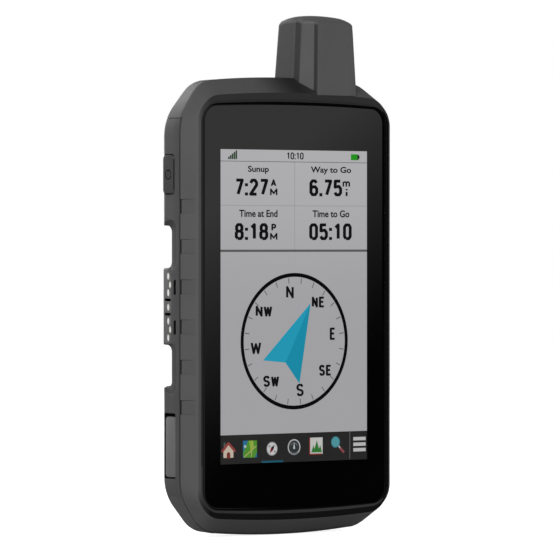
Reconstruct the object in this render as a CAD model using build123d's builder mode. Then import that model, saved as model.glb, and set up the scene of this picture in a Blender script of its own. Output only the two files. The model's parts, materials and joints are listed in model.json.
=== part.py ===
from build123d import *
import os

# Handheld satellite navigator. X is across the device, Y is its depth with the screen facing -Y,
# and Z is its length with the aerial at the top. The origin is the middle of the bottom end.
# All lengths are in millimetres.

# Depth levels, front to back
GLASS_Y = -16.5
LIP_Y = -16.2
RIM_Y = -15.75
GLASS_BACK_Y = -15.4
INK_BACK_Y = -15.3
DISPLAY_Y = -15.2
LEDGE_Y = -15.0
TRAY_Y = -13.4
SHUT_LINE_Y = -9.0
PARTING_Y = -8.2
BEVEL_Y = 1.2
BACK_INNER_Y = 14.3
BACK_Y = 16.5

# Body outlines: half width, where the corner cut starts and ends, height at the middle, corner radii
MIDDLE_Z = 80.0
LIP_OUTLINE = (41.3, 65.5, 36.4, 70.75, 72.1, 7.0, 7.0)
RIM_OUTLINE = (42.76, 67.0, 37.0, 72.85, 74.4, 9.2, 9.2)
RIDGE_OUTLINE = (45.5, 65.0, 36.6, 78.0, 80.0, 17.0, 12.0)
REAR_OUTLINE = (45.45, 64.9, 36.4, 78.0, 80.0, 17.0, 12.0)
SHUT_LINE_OUTLINE = (44.6, 64.5, 36.1, 77.1, 79.1, 16.6, 11.6)
SEAL_OUTLINE = (44.05, 63.0, 30.8, 77.1, 78.4, 11.2, 9.2)
SEAL_INSIDE = (43.35, 62.6, 30.5, 76.4, 77.6, 10.5, 8.5)
BEVEL_OUTLINE = (44.65, 65.0, 33.2, 78.2, 79.7, 16.0, 12.0)
BACK_OUTLINE = (31.5, 60.0, 24.0, 68.4, 69.6, 6.0, 6.0)
FRONT_HOLLOW = (41.4, 61.5, 29.6, 73.4, 74.2, 9.0, 9.0)
REAR_HOLLOW = (42.9, 62.0, 30.0, 75.6, 76.6, 9.0, 9.0)
BEVEL_HOLLOW = (42.3, 61.6, 29.7, 75.2, 76.2, 9.0, 9.0)
BACK_HOLLOW = (31.0, 58.5, 23.5, 66.8, 67.8, 6.0, 6.0)
SEAM_Z = 145.2
SEAM_GAP = 0.15

# Glass and display
GLASS_HALF_WIDTH = 40.35
GLASS_END = 69.5
GLASS_CROWN = 1.05
GLASS_RADIUS = 6.0
GLASS_GAP = 0.5
WINDOW_WIDTH = 65.3
WINDOW_HEIGHT = 108.9
PANEL_WIDTH = 69.0
PANEL_BOTTOM = 21.0
PANEL_TOP = 136.5

# Aerial, right of centre on the top end
AERIAL_FOOT_Z = 153.8
AERIAL_TOP_Z = 182.3
AERIAL_X = 16.5
AERIAL_Y = -4.5
CORE_RADIUS = 6.0
SEAL_INNER = 7.4
SEAL_OUTER = 8.2
CORE_HOLE_RADIUS = 7.0

# Side features
KEY_Y = -2.3
KEY_Z = 125.65
KEY_WIDTH = 6.3
KEY_LENGTH = 13.3
KEY_FACE_X = -45.45
KEY_GAP = 0.3
KEY_TRAVEL = 0.6
NOTCH_FRONT_Y = -2.5
NOTCH_INNER_Z = 13.3
NOTCH_OUTER_Z = 28.05
NOTCH_PLAN = ((52.0, NOTCH_FRONT_Y), (40.5, NOTCH_FRONT_Y), (37.6, 4.0), (28.2, 17.5), (52.0, 22.0))
GRIP_Z = (6.9, 20.75, 34.6)
GRIP_HEIGHT = 5.0
GRIP_FRONT = (43.25, -14.4)
GRIP_BACK = (45.0, -8.0)
PAD_Z = (90.5, 87.6, 84.8, 79.8, 75.0, 72.1, 69.2)
FORWARD_PADS = (87.6, 72.1)
PAD_Y = -0.05
FORWARD_PAD_Y = -1.8
PAD_RADIUS = 1.2
BLOCK_FRONT_Y = -3.5
BLOCK_EDGE = (-44.7, BLOCK_FRONT_Y)
BLOCK_TAIL = (-42.35, 4.5)
CAP_FRONT_Y = -5.9
CAP_BACK_Y = 0.6
FINGER_GAP = 1.2
USB_CAP_Z = (21.0, 42.0)
SOCKET_CAP_Z = (117.5, 132.5)

# Battery bay, door and latch
BAY_HALF_WIDTH = 25.3
BAY_BOTTOM = 49.0
BAY_TOP = 107.0
BAY_FLOOR_Y = -0.4
DOOR_SEAT_Y = 12.9
DOOR_HALF_WIDTH = 27.6
DOOR_BOTTOM = 12.8
DOOR_TOP = 111.8
DOOR_PLAY = 0.2
LATCH_Z = 30.0
LATCH_WELL_RADIUS = 16.5
RING_Y = 14.95
RING_WIRE = 1.1

# Screws
CASE_SCREW_X = 37.0
CASE_SCREW_Z = (16.5, 47.0, 113.0, 139.0)
BOARD_SCREW_X = 29.0
BOARD_SCREW_Z = (24.0, 134.0)

os.makedirs("parts", exist_ok=True)


def section(depth):
    """Upright plane at a depth, drawn as seen from the front."""
    return Plane.XZ.offset(-depth)


def body_outline(side, cut_z, cut_x, end_z, crown_z, side_radius, end_radius):
    """Long rounded body outline, the same at the top and the bottom."""
    with BuildLine() as edge:
        Line((side, MIDDLE_Z - cut_z), (side, MIDDLE_Z + cut_z))
        Line((side, MIDDLE_Z + cut_z), (cut_x, MIDDLE_Z + end_z))
        ThreePointArc((cut_x, MIDDLE_Z + end_z), (0, MIDDLE_Z + crown_z), (-cut_x, MIDDLE_Z + end_z))
        Line((-cut_x, MIDDLE_Z + end_z), (-side, MIDDLE_Z + cut_z))
        Line((-side, MIDDLE_Z + cut_z), (-side, MIDDLE_Z - cut_z))
        Line((-side, MIDDLE_Z - cut_z), (-cut_x, MIDDLE_Z - end_z))
        ThreePointArc((-cut_x, MIDDLE_Z - end_z), (0, MIDDLE_Z - crown_z), (cut_x, MIDDLE_Z - end_z))
        Line((cut_x, MIDDLE_Z - end_z), (side, MIDDLE_Z - cut_z))
    make_face(edge.edges())
    fillet(vertices().filter_by(lambda v: abs(v.X) > side - 0.01), side_radius)
    fillet(vertices().filter_by(lambda v: abs(abs(v.X) - cut_x) < 0.01), end_radius)


def glass_outline(margin):
    """Glass outline with slightly crowned ends, grown by a margin."""
    side = GLASS_HALF_WIDTH + margin
    end = GLASS_END + margin
    with BuildLine() as edge:
        Line((side, MIDDLE_Z - end), (side, MIDDLE_Z + end))
        ThreePointArc((side, MIDDLE_Z + end), (0, MIDDLE_Z + end + GLASS_CROWN), (-side, MIDDLE_Z + end))
        Line((-side, MIDDLE_Z + end), (-side, MIDDLE_Z - end))
        ThreePointArc((-side, MIDDLE_Z - end), (0, MIDDLE_Z - end - GLASS_CROWN), (side, MIDDLE_Z - end))
    make_face(edge.edges())
    fillet(vertices(), GLASS_RADIUS)


def case_screw_places(depth):
    """Screw positions round the body at a depth."""
    return [
        Location((side * CASE_SCREW_X, depth, height), (90, 0, 0))
        for side in (-1, 1)
        for height in CASE_SCREW_Z
    ]


def cut_box(low, high):
    """Take a box given by two corners out of the current piece."""
    middle = [(a + b) / 2 for a, b in zip(low, high)]
    with Locations(tuple(middle)):
        Box(high[0] - low[0], high[1] - low[1], high[2] - low[2], mode=Mode.SUBTRACT)


def fill_box(low, high):
    """Add a box given by two corners to the current piece."""
    middle = [(a + b) / 2 for a, b in zip(low, high)]
    with Locations(tuple(middle)):
        Box(high[0] - low[0], high[1] - low[1], high[2] - low[2])


# Outer form behind the parting line
with BuildPart() as rear_form:
    with BuildSketch(section(PARTING_Y)):
        body_outline(*REAR_OUTLINE)
    with BuildSketch(section(BEVEL_Y)):
        body_outline(*BEVEL_OUTLINE)
    loft(ruled=True)
    with BuildSketch(section(BEVEL_Y)):
        body_outline(*BEVEL_OUTLINE)
    with BuildSketch(section(BACK_Y)):
        body_outline(*BACK_OUTLINE)
    loft(ruled=True)

# Hollow behind the parting line
with BuildPart() as rear_hollow:
    with BuildSketch(section(PARTING_Y - 0.5)):
        body_outline(*REAR_HOLLOW)
    with BuildSketch(section(BEVEL_Y)):
        body_outline(*BEVEL_HOLLOW)
    loft(ruled=True)
    with BuildSketch(section(BEVEL_Y)):
        body_outline(*BEVEL_HOLLOW)
    with BuildSketch(section(BACK_INNER_Y)):
        body_outline(*BACK_HOLLOW)
    loft(ruled=True)

# Cap of the front housing that wraps over the top end
with BuildPart() as top_form:
    add(rear_form.part)
    split(bisect_by=Plane.XY.offset(SEAM_Z), keep=Keep.TOP)

# Shut line groove in front of the parting line, up to the seam
with BuildPart() as shut_line:
    with BuildSketch(section(PARTING_Y)):
        Rectangle(120.0, 2 * SEAM_Z)
    extrude(amount=PARTING_Y - SHUT_LINE_Y)
    with BuildSketch(section(PARTING_Y)):
        body_outline(*SHUT_LINE_OUTLINE)
    extrude(amount=PARTING_Y - SHUT_LINE_Y, mode=Mode.SUBTRACT)

# Front housing: rim, sloping front and the wrap over the top end
with BuildPart() as front_housing:
    with BuildSketch(section(LIP_Y)):
        body_outline(*LIP_OUTLINE)
    with BuildSketch(section(RIM_Y)):
        body_outline(*RIM_OUTLINE)
    loft(ruled=True)
    with BuildSketch(section(RIM_Y)):
        body_outline(*RIM_OUTLINE)
    with BuildSketch(section(PARTING_Y)):
        body_outline(*RIDGE_OUTLINE)
    loft(ruled=True)
    with BuildSketch(section(TRAY_Y)):
        body_outline(*FRONT_HOLLOW)
    extrude(amount=TRAY_Y - PARTING_Y, mode=Mode.SUBTRACT)
    add(top_form.part)
    add(rear_hollow.part, mode=Mode.SUBTRACT)
    # Seat for the glass, and the opening the display sits in
    with BuildSketch(section(LEDGE_Y)):
        glass_outline(GLASS_GAP)
    extrude(amount=3.0, mode=Mode.SUBTRACT)
    cut_box((-PANEL_WIDTH / 2 - 0.5, LEDGE_Y - 1, PANEL_BOTTOM - 0.8),
            (PANEL_WIDTH / 2 + 0.5, TRAY_Y + 1, PANEL_TOP + 0.8))
    # Six shallow thumb grips on each side
    for side in (-1, 1):
        for offset in GRIP_Z:
            for end in (-1, 1):
                with BuildSketch(Plane.XY.offset(MIDDLE_Z + end * offset - GRIP_HEIGHT / 2)):
                    with BuildLine():
                        Polyline((side * GRIP_FRONT[0], GRIP_FRONT[1]), (side * GRIP_BACK[0], GRIP_BACK[1]),
                                 (side * 47.5, GRIP_BACK[1]), (side * 47.5, GRIP_FRONT[1]), close=True)
                    make_face()
                extrude(amount=GRIP_HEIGHT, mode=Mode.SUBTRACT)
    # Pads that the housing screws pull against
    for side in (-1, 1):
        for height in CASE_SCREW_Z:
            with BuildSketch(section(PARTING_Y)):
                with Locations((side * CASE_SCREW_X, height)):
                    Circle(3.2)
                with Locations((side * (CASE_SCREW_X + 2.6), height)):
                    Rectangle(5.2, 4.0)
            extrude(amount=PARTING_Y - TRAY_Y)
    with Locations(*case_screw_places(-10.5)):
        Cylinder(1.15, 4.8, mode=Mode.SUBTRACT)
    add(shut_line.part, mode=Mode.SUBTRACT)
    # Shelf the aerial stands on, open for its core
    fill_box((3.5, TRAY_Y - 0.3, 151.6), (29.5, 5.5, AERIAL_FOOT_Z))
    with BuildSketch(Plane.XY.offset(AERIAL_FOOT_Z)):
        with BuildLine():
            Polyline((9.55, -17.5), (27.85, -17.5), (27.85, 4.05), (5.15, 4.05),
                     (5.15, -9.9), (9.55, -14.2), close=True)
        make_face()
    extrude(amount=12.0, mode=Mode.SUBTRACT)
    with Locations((AERIAL_X, AERIAL_Y, 152.7)):
        Cylinder(CORE_HOLE_RADIUS, 4.0, mode=Mode.SUBTRACT)
    with BuildSketch(Plane.XY.offset(AERIAL_FOOT_Z - 0.5)):
        with Locations((AERIAL_X, AERIAL_Y)):
            Circle(SEAL_OUTER)
            Circle(SEAL_INNER, mode=Mode.SUBTRACT)
    extrude(amount=1.0, mode=Mode.SUBTRACT)
front_housing.part.label = "front_housing"
export_step(front_housing.part, "parts/front_housing.step")

# Clear cover glass
with BuildPart() as cover_glass:
    with BuildSketch(section(GLASS_BACK_Y)):
        glass_outline(0.0)
    extrude(amount=GLASS_BACK_Y - GLASS_Y)
    chamfer(faces().sort_by(Axis.Y)[0].edges(), 0.25)
cover_glass.part.label = "cover_glass"
export_step(cover_glass.part, "parts/cover_glass.step")

# Printed black border behind the glass
with BuildPart() as ink_mask:
    with BuildSketch(section(INK_BACK_Y)):
        glass_outline(-0.15)
        with Locations((0, MIDDLE_Z)):
            Rectangle(WINDOW_WIDTH, WINDOW_HEIGHT, mode=Mode.SUBTRACT)
    extrude(amount=INK_BACK_Y - GLASS_BACK_Y)
ink_mask.part.label = "ink_mask"
export_step(ink_mask.part, "parts/ink_mask.step")

# Tape ring that holds the glass on its ledge
with BuildPart() as lens_adhesive:
    with BuildSketch(section(LEDGE_Y)):
        glass_outline(-0.3)
        with Locations((0, (PANEL_BOTTOM + PANEL_TOP) / 2)):
            Rectangle(PANEL_WIDTH + 2.0, PANEL_TOP - PANEL_BOTTOM + 2.4, mode=Mode.SUBTRACT)
    extrude(amount=LEDGE_Y - INK_BACK_Y)
lens_adhesive.part.label = "lens_adhesive"
export_step(lens_adhesive.part, "parts/lens_adhesive.step")

# Display
with BuildPart() as display_panel:
    fill_box((-PANEL_WIDTH / 2, DISPLAY_Y, PANEL_BOTTOM), (PANEL_WIDTH / 2, TRAY_Y, PANEL_TOP))
display_panel.part.label = "display_panel"
export_step(display_panel.part, "parts/display_panel.step")

# Metal tray behind the display, with stand-offs for the main board
with BuildPart() as display_tray:
    fill_box((-37.5, TRAY_Y, 22.0), (37.5, TRAY_Y + 0.8, 138.0))
    for side in (-1, 1):
        for height in CASE_SCREW_Z:
            cut_box((side * 38.2 - 4.6, TRAY_Y - 1, height - 3.6),
                    (side * 38.2 + 4.6, TRAY_Y + 2, height + 3.6))
    with BuildSketch(section(TRAY_Y + 0.8)):
        with Locations((0, 52.0), (0, 108.0)):
            RectangleRounded(44.0, 36.0, 4.0)
    extrude(amount=2.0, mode=Mode.SUBTRACT)
    with BuildSketch(section(TRAY_Y + 1.6)):
        with GridLocations(2 * BOARD_SCREW_X, BOARD_SCREW_Z[1] - BOARD_SCREW_Z[0], 2, 2):
            with Locations((0, sum(BOARD_SCREW_Z) / 2)):
                Circle(2.2)
    extrude(amount=0.8)
    with BuildSketch(section(TRAY_Y + 1.6)):
        with GridLocations(2 * BOARD_SCREW_X, BOARD_SCREW_Z[1] - BOARD_SCREW_Z[0], 2, 2):
            with Locations((0, sum(BOARD_SCREW_Z) / 2)):
                Circle(0.75)
    extrude(amount=2.4, mode=Mode.SUBTRACT)
display_tray.part.label = "display_tray"
export_step(display_tray.part, "parts/display_tray.step")

# Main board
BOARD_Y = TRAY_Y + 1.6
BOARD_BACK_Y = BOARD_Y + 1.0
with BuildPart() as main_board:
    with BuildSketch(section(BOARD_BACK_Y)):
        with Locations((0, 79.5)):
            RectangleRounded(64.0, 115.0, 2.0)
        with GridLocations(2 * BOARD_SCREW_X, BOARD_SCREW_Z[1] - BOARD_SCREW_Z[0], 2, 2):
            with Locations((0, sum(BOARD_SCREW_Z) / 2)):
                Circle(0.9, mode=Mode.SUBTRACT)
    extrude(amount=1.0)
main_board.part.label = "main_board"
export_step(main_board.part, "parts/main_board.step")

# Screws that hold the main board on the tray
with BuildPart() as board_screws:
    with BuildSketch(section(BOARD_BACK_Y + 0.9)):
        with GridLocations(2 * BOARD_SCREW_X, BOARD_SCREW_Z[1] - BOARD_SCREW_Z[0], 2, 2):
            with Locations((0, sum(BOARD_SCREW_Z) / 2)):
                Circle(1.6)
    extrude(amount=0.9)
    with BuildSketch(section(BOARD_BACK_Y)):
        with GridLocations(2 * BOARD_SCREW_X, BOARD_SCREW_Z[1] - BOARD_SCREW_Z[0], 2, 2):
            with Locations((0, sum(BOARD_SCREW_Z) / 2)):
                Circle(0.7)
    extrude(amount=1.8)
    with BuildSketch(section(BOARD_BACK_Y + 0.9)):
        with GridLocations(2 * BOARD_SCREW_X, BOARD_SCREW_Z[1] - BOARD_SCREW_Z[0], 2, 2):
            with Locations((0, sum(BOARD_SCREW_Z) / 2)):
                Rectangle(1.9, 0.4)
                Rectangle(0.4, 1.9)
    extrude(amount=0.4, mode=Mode.SUBTRACT)
board_screws.part.label = "board_screws"
export_step(board_screws.part, "parts/board_screws.step")

# Cans and chips on the main board
with BuildPart() as processor_shield:
    fill_box((-26.0, BOARD_BACK_Y, 60.0), (4.0, BOARD_BACK_Y + 2.0, 94.0))
    cut_box((-25.7, BOARD_BACK_Y - 1, 60.3), (3.7, BOARD_BACK_Y + 1.7, 93.7))
processor_shield.part.label = "processor_shield"
export_step(processor_shield.part, "parts/processor_shield.step")

with BuildPart() as processor_chip:
    fill_box((-19.0, BOARD_BACK_Y, 69.0), (-5.0, BOARD_BACK_Y + 1.2, 83.0))
processor_chip.part.label = "processor_chip"
export_step(processor_chip.part, "parts/processor_chip.step")

with BuildPart() as radio_shield:
    fill_box((8.0, BOARD_BACK_Y, 108.0), (30.0, BOARD_BACK_Y + 1.8, 126.0))
    cut_box((8.3, BOARD_BACK_Y - 1, 108.3), (29.7, BOARD_BACK_Y + 1.5, 125.7))
radio_shield.part.label = "radio_shield"
export_step(radio_shield.part, "parts/radio_shield.step")

with BuildPart() as memory_card_socket:
    fill_box((10.0, BOARD_BACK_Y, 84.0), (25.0, BOARD_BACK_Y + 1.6, 98.0))
    cut_box((11.5, BOARD_BACK_Y + 0.3, 83.0), (23.5, BOARD_BACK_Y + 1.3, 97.0))
memory_card_socket.part.label = "memory_card_socket"
export_step(memory_card_socket.part, "parts/memory_card_socket.step")

with BuildPart() as board_connector:
    fill_box((-8.0, BOARD_BACK_Y, 24.6), (8.0, BOARD_BACK_Y + 1.2, 28.6))
board_connector.part.label = "board_connector"
export_step(board_connector.part, "parts/board_connector.step")

# Ribbon from the display round the foot of the board to its connector
with BuildPart() as display_flex:
    fill_box((-7.0, -14.4, 20.4), (7.0, -14.2, PANEL_BOTTOM))
    fill_box((-7.0, -14.4, 20.4), (7.0, BOARD_BACK_Y + 0.4, 20.6))
    fill_box((-7.0, BOARD_BACK_Y + 0.2, 20.4), (7.0, BOARD_BACK_Y + 0.4, 24.6))
display_flex.part.label = "display_flex"
export_step(display_flex.part, "parts/display_flex.step")


def aerial_section(grow, front_y, back_y, left_x, right_x):
    """Plan of the aerial cover, with its angled left front corner."""
    with BuildLine() as edge:
        Polyline((left_x + 4.35 + grow, front_y), (right_x, front_y), (right_x, back_y),
                 (left_x, back_y), (left_x, -5.8), (left_x + 0.6, -6.5), (left_x + 0.6, -9.6),
                 (left_x + 4.35 + grow, front_y + 1.75), close=True)
    make_face(edge.edges())
    fillet(vertices().sort_by(Axis.Y)[-2:], 1.2)
    fillet(vertices().filter_by(lambda v: v.X > right_x - 0.01).sort_by(Axis.Y)[0], 0.6)


# Aerial cover
with BuildPart() as antenna_cap:
    with BuildSketch(Plane.XY.offset(AERIAL_FOOT_Z)):
        aerial_section(0.0, -15.7, 3.9, 5.3, 27.7)
    with BuildSketch(Plane.XY.offset(AERIAL_TOP_Z + 1.0)):
        aerial_section(0.0, -15.4, 2.4, 7.2, 25.4)
    loft(ruled=True)
    # Crowned top, seen from the front and from the side
    with BuildSketch(section(10.0)):
        with BuildLine():
            Line((0.0, 150.0), (32.0, 150.0))
            Line((32.0, 150.0), (32.0, 172.0))
            Line((32.0, 172.0), (24.2, 180.6))
            ThreePointArc((24.2, 180.6), (15.0, AERIAL_TOP_Z), (8.4, 181.4))
            Line((8.4, 181.4), (4.0, 174.0))
            Line((4.0, 174.0), (0.0, 150.0))
        make_face()
    extrude(amount=30.0, mode=Mode.INTERSECT)
    with BuildSketch(Plane.YZ.offset(0.0)):
        with BuildLine():
            Line((-20.0, 150.0), (8.0, 150.0))
            Line((8.0, 150.0), (8.0, 174.0))
            Line((8.0, 174.0), (2.3, 181.0))
            ThreePointArc((2.3, 181.0), (-4.0, AERIAL_TOP_Z), (-14.6, 179.9))
            Line((-14.6, 179.9), (-20.0, 172.0))
            Line((-20.0, 172.0), (-20.0, 150.0))
        make_face()
    extrude(amount=40.0, mode=Mode.INTERSECT)
    with Locations((AERIAL_X, AERIAL_Y, AERIAL_FOOT_Z + 11.0)):
        Cylinder(CORE_HOLE_RADIUS, 22.4, mode=Mode.SUBTRACT)
antenna_cap.part.label = "antenna_cap"
export_step(antenna_cap.part, "parts/antenna_cap.step")

# Aerial core on its foot
with BuildPart() as antenna_core:
    with Locations((AERIAL_X, AERIAL_Y, 152.7)):
        Cylinder(CORE_HOLE_RADIUS - 0.05, 2.2)
    with Locations((AERIAL_X, AERIAL_Y, 163.3)):
        Cylinder(CORE_RADIUS, 21.4)
    with Locations((AERIAL_X, AERIAL_Y, 165.0)):
        Cylinder(CORE_RADIUS - 1.5, 20.0, mode=Mode.SUBTRACT)
antenna_core.part.label = "antenna_core"
export_step(antenna_core.part, "parts/antenna_core.step")

# Four copper strips round the core
with BuildPart() as antenna_elements:
    with BuildSketch(Plane.XY.offset(155.0)):
        with Locations((AERIAL_X, AERIAL_Y)):
            Circle(CORE_RADIUS + 0.2)
            Circle(CORE_RADIUS, mode=Mode.SUBTRACT)
            Rectangle(20.0, 6.8, mode=Mode.SUBTRACT)
    extrude(amount=18.0)
    with Locations((AERIAL_X, AERIAL_Y, 163.0)):
        Box(6.8, 20.0, 20.0, mode=Mode.SUBTRACT)
antenna_elements.part.label = "antenna_elements"
export_step(antenna_elements.part, "parts/antenna_elements.step")

# Ring seal under the aerial cover
with BuildPart() as antenna_seal:
    with BuildSketch(Plane.XY.offset(AERIAL_FOOT_Z - 0.5)):
        with Locations((AERIAL_X, AERIAL_Y)):
            Circle(SEAL_OUTER - 0.02)
            Circle(SEAL_INNER + 0.02, mode=Mode.SUBTRACT)
    extrude(amount=0.5)
antenna_seal.part.label = "antenna_seal"
export_step(antenna_seal.part, "parts/antenna_seal.step")

# Coaxial lead from the aerial to the board
with BuildPart() as antenna_cable:
    with BuildLine() as lead_path:
        Spline((AERIAL_X, AERIAL_Y, 151.6), (17.2, -6.4, 145.0), (19.6, -9.4, 137.0), (20.0, -9.9, 132.4),
               tangents=((0, 0, -1), (0, 0, -1)))
    with BuildSketch(Plane(origin=(AERIAL_X, AERIAL_Y, 151.6), z_dir=(0, 0, -1))):
        Circle(0.6)
    sweep(path=lead_path.wires()[0])
antenna_cable.part.label = "antenna_cable"
export_step(antenna_cable.part, "parts/antenna_cable.step")

with BuildPart() as cable_plug:
    fill_box((18.5, BOARD_BACK_Y, 129.4), (21.5, BOARD_BACK_Y + 1.6, 132.4))
cable_plug.part.label = "cable_plug"
export_step(cable_plug.part, "parts/cable_plug.step")

# Ribs, bosses and bay walls inside the rear housing
with BuildPart() as rear_ribs:
    with Locations(*case_screw_places(2.0)):
        Cylinder(3.6, 20.4)
    fill_box((-30.2, -2.0, 8.0), (30.2, 15.0, 113.6))
    for side in (-1, 1):
        fill_box((min(side * 36.8, side * 45.5), PARTING_Y, 49.5),
                 (max(side * 36.8, side * 45.5), 15.0, 110.5))
        fill_box((min(side * 30.0, side * 38.0), -0.5, 49.5), (max(side * 30.0, side * 38.0), 15.0, 110.5))
    fill_box((-45.5, PARTING_Y, 18.0), (-40.7, 3.0, 45.0))
    fill_box((40.7, PARTING_Y, 114.5), (45.5, 3.0, 135.5))
    add(rear_form.part, mode=Mode.INTERSECT)

# Cord seal along the parting line
with BuildPart() as housing_seal:
    with BuildSketch(section(PARTING_Y)):
        body_outline(*SEAL_OUTLINE)
    extrude(amount=-0.4)
    with BuildSketch(section(PARTING_Y)):
        body_outline(*SEAL_INSIDE)
    extrude(amount=-0.4, mode=Mode.SUBTRACT)
    split(bisect_by=Plane.XY.offset(SEAM_Z - 1.0), keep=Keep.BOTTOM)
housing_seal.part.label = "housing_seal"
export_step(housing_seal.part, "parts/housing_seal.step")

# Rear housing
with BuildPart() as rear_housing:
    add(rear_form.part)
    add(rear_hollow.part, mode=Mode.SUBTRACT)
    add(rear_ribs.part)
    split(bisect_by=Plane.XY.offset(SEAM_Z - SEAM_GAP), keep=Keep.BOTTOM)
    # Housing screws go in from the back, their heads sunk below the bevel
    with Locations(*case_screw_places(0.0)):
        Cylinder(1.35, 20.0, mode=Mode.SUBTRACT)
    with Locations(*case_screw_places(11.5)):
        Cylinder(2.6, 20.0, mode=Mode.SUBTRACT)
    # Battery bay, seat for the door, and the well the latch turns in
    cut_box((-BAY_HALF_WIDTH, BAY_FLOOR_Y, BAY_BOTTOM), (BAY_HALF_WIDTH, 20.0, BAY_TOP))
    with BuildSketch(section(DOOR_SEAT_Y)):
        with Locations((0, (DOOR_BOTTOM + DOOR_TOP) / 2)):
            RectangleRounded(2 * (DOOR_HALF_WIDTH + DOOR_PLAY), DOOR_TOP - DOOR_BOTTOM + 2 * DOOR_PLAY, 10.0)
    extrude(amount=-8.0, mode=Mode.SUBTRACT)
    with BuildSketch(section(6.4)):
        with Locations((0, LATCH_Z)):
            Circle(LATCH_WELL_RADIUS + 0.3)
    extrude(amount=-10.0, mode=Mode.SUBTRACT)
    # Slot for the battery contacts in the end wall of the bay
    cut_box((-8.05, -2.5, BAY_TOP - 1.0), (8.05, 9.05, 110.65))
    # Power key opening
    with BuildSketch(Plane.YZ.offset(-50.0)):
        with Locations((KEY_Y, KEY_Z)):
            RectangleRounded(KEY_WIDTH + 2 * KEY_GAP, KEY_LENGTH + 2 * KEY_GAP, 1.4)
    extrude(amount=11.0, mode=Mode.SUBTRACT)
    # Cradle notches on both sides, their floors leaning in towards the back
    for side in (-1, 1):
        for end in (-1, 1):
            with BuildSketch(Plane.XY.offset(MIDDLE_Z + end * NOTCH_INNER_Z)):
                with BuildLine():
                    Polyline(*[(side * x, y) for x, y in NOTCH_PLAN], close=True)
                make_face()
            extrude(amount=end * (NOTCH_OUTER_Z - NOTCH_INNER_Z), mode=Mode.SUBTRACT)
    # Window for the contact block, and two slots in front of it
    cut_box((-50.0, BLOCK_FRONT_Y - 0.05, MIDDLE_Z - NOTCH_INNER_Z), (-40.0, 20.0, MIDDLE_Z + NOTCH_INNER_Z))
    cut_box((-42.0, -3.0, 67.9), (-36.0, 2.1, 91.8))
    cut_box((-46.0, -6.1, 84.2), (-43.6, -4.9, 89.2))
    cut_box((-46.0, -6.1, 70.4), (-43.6, -4.9, 75.3))
    # Pocket and socket opening for the cap on the left, then the one on the right
    cut_box((-50.0, CAP_FRONT_Y - 0.2, USB_CAP_Z[0] - 0.2),
            (-42.9, CAP_BACK_Y + 0.2, USB_CAP_Z[1] + FINGER_GAP))
    with BuildSketch(Plane.YZ.offset(-43.0)):
        with Locations((-2.65, 32.0)):
            RectangleRounded(3.4, 9.4, 1.2)
    extrude(amount=6.0, mode=Mode.SUBTRACT)
    cut_box((42.9, CAP_FRONT_Y - 0.2, SOCKET_CAP_Z[0] - 0.2),
            (50.0, CAP_BACK_Y + 0.2, SOCKET_CAP_Z[1] + FINGER_GAP))
    with Locations(Location((40.0, -2.65, 125.5), (0, 90, 0))):
        Cylinder(2.4, 10.0, mode=Mode.SUBTRACT)
    # Loudspeaker grille
    with BuildSketch(section(BACK_INNER_Y - 1.0)):
        with GridLocations(12.0, 2.8, 1, 5):
            with Locations((0, 127.0)):
                SlotOverall(13.0, 1.4)
    extrude(amount=-6.0, mode=Mode.SUBTRACT)
    # Groove for the cord seal
    add(housing_seal.part, mode=Mode.SUBTRACT)
rear_housing.part.label = "rear_housing"
export_step(rear_housing.part, "parts/rear_housing.step")

# Housing screws
with BuildPart() as case_screws:
    with Locations(*case_screw_places(2.2)):
        Cylinder(2.3, 1.4)
    with Locations(*case_screw_places(-5.5)):
        Cylinder(1.1, 14.0)
    with BuildSketch(section(2.9)):
        for side in (-1, 1):
            for height in CASE_SCREW_Z:
                with Locations((side * CASE_SCREW_X, height)):
                    RegularPolygon(1.0, 6)
    extrude(amount=0.8, mode=Mode.SUBTRACT)
case_screws.part.label = "case_screws"
export_step(case_screws.part, "parts/case_screws.step")

# Power key, with the lip that keeps it in and the post that presses the switch
with BuildPart() as power_key:
    with BuildSketch(Plane.YZ.offset(KEY_FACE_X)):
        with Locations((KEY_Y, KEY_Z)):
            RectangleRounded(KEY_WIDTH, KEY_LENGTH, 1.2)
    extrude(amount=-42.1 - KEY_FACE_X)
    chamfer(faces().sort_by(Axis.X)[0].edges(), 0.4)
    fill_box((-42.1, -6.6, KEY_Z - 8.4), (-41.4, 0.7, KEY_Z + 8.4))
    fill_box((-41.4, KEY_Y - 1.2, KEY_Z - 1.2), (-40.9, KEY_Y + 1.2, KEY_Z + 1.2))
    with BuildSketch(Plane.YZ.offset(KEY_FACE_X - 0.1)):
        with Locations((KEY_Y, KEY_Z)):
            Circle(1.75)
            Circle(1.5, mode=Mode.SUBTRACT)
            Rectangle(0.3, 1.5)
    extrude(amount=0.25, mode=Mode.SUBTRACT)
power_key.part.label = "power_key"
export_step(power_key.part, "parts/power_key.step")

with BuildPart() as key_seal:
    fill_box((-42.28, -6.6, KEY_Z - 8.4), (-42.1, 0.7, KEY_Z + 8.4))
    cut_box((-43.0, KEY_Y - 3.3, KEY_Z - 7.0), (-41.0, 1.0, KEY_Z + 7.0))
key_seal.part.label = "key_seal"
export_step(key_seal.part, "parts/key_seal.step")

with BuildPart() as power_switch:
    fill_box((-39.7, KEY_Y - 2.2, KEY_Z - 2.6), (-37.6, KEY_Y + 2.2, KEY_Z + 2.6))
    with Locations(Location((-39.95, KEY_Y, KEY_Z), (0, 90, 0))):
        Cylinder(0.9, 0.6)
power_switch.part.label = "power_switch"
export_step(power_switch.part, "parts/power_switch.step")

with BuildPart() as key_board:
    fill_box((-37.6, -6.0, 117.5), (-36.8, 1.0, 134.0))
key_board.part.label = "key_board"
export_step(key_board.part, "parts/key_board.step")

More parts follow.
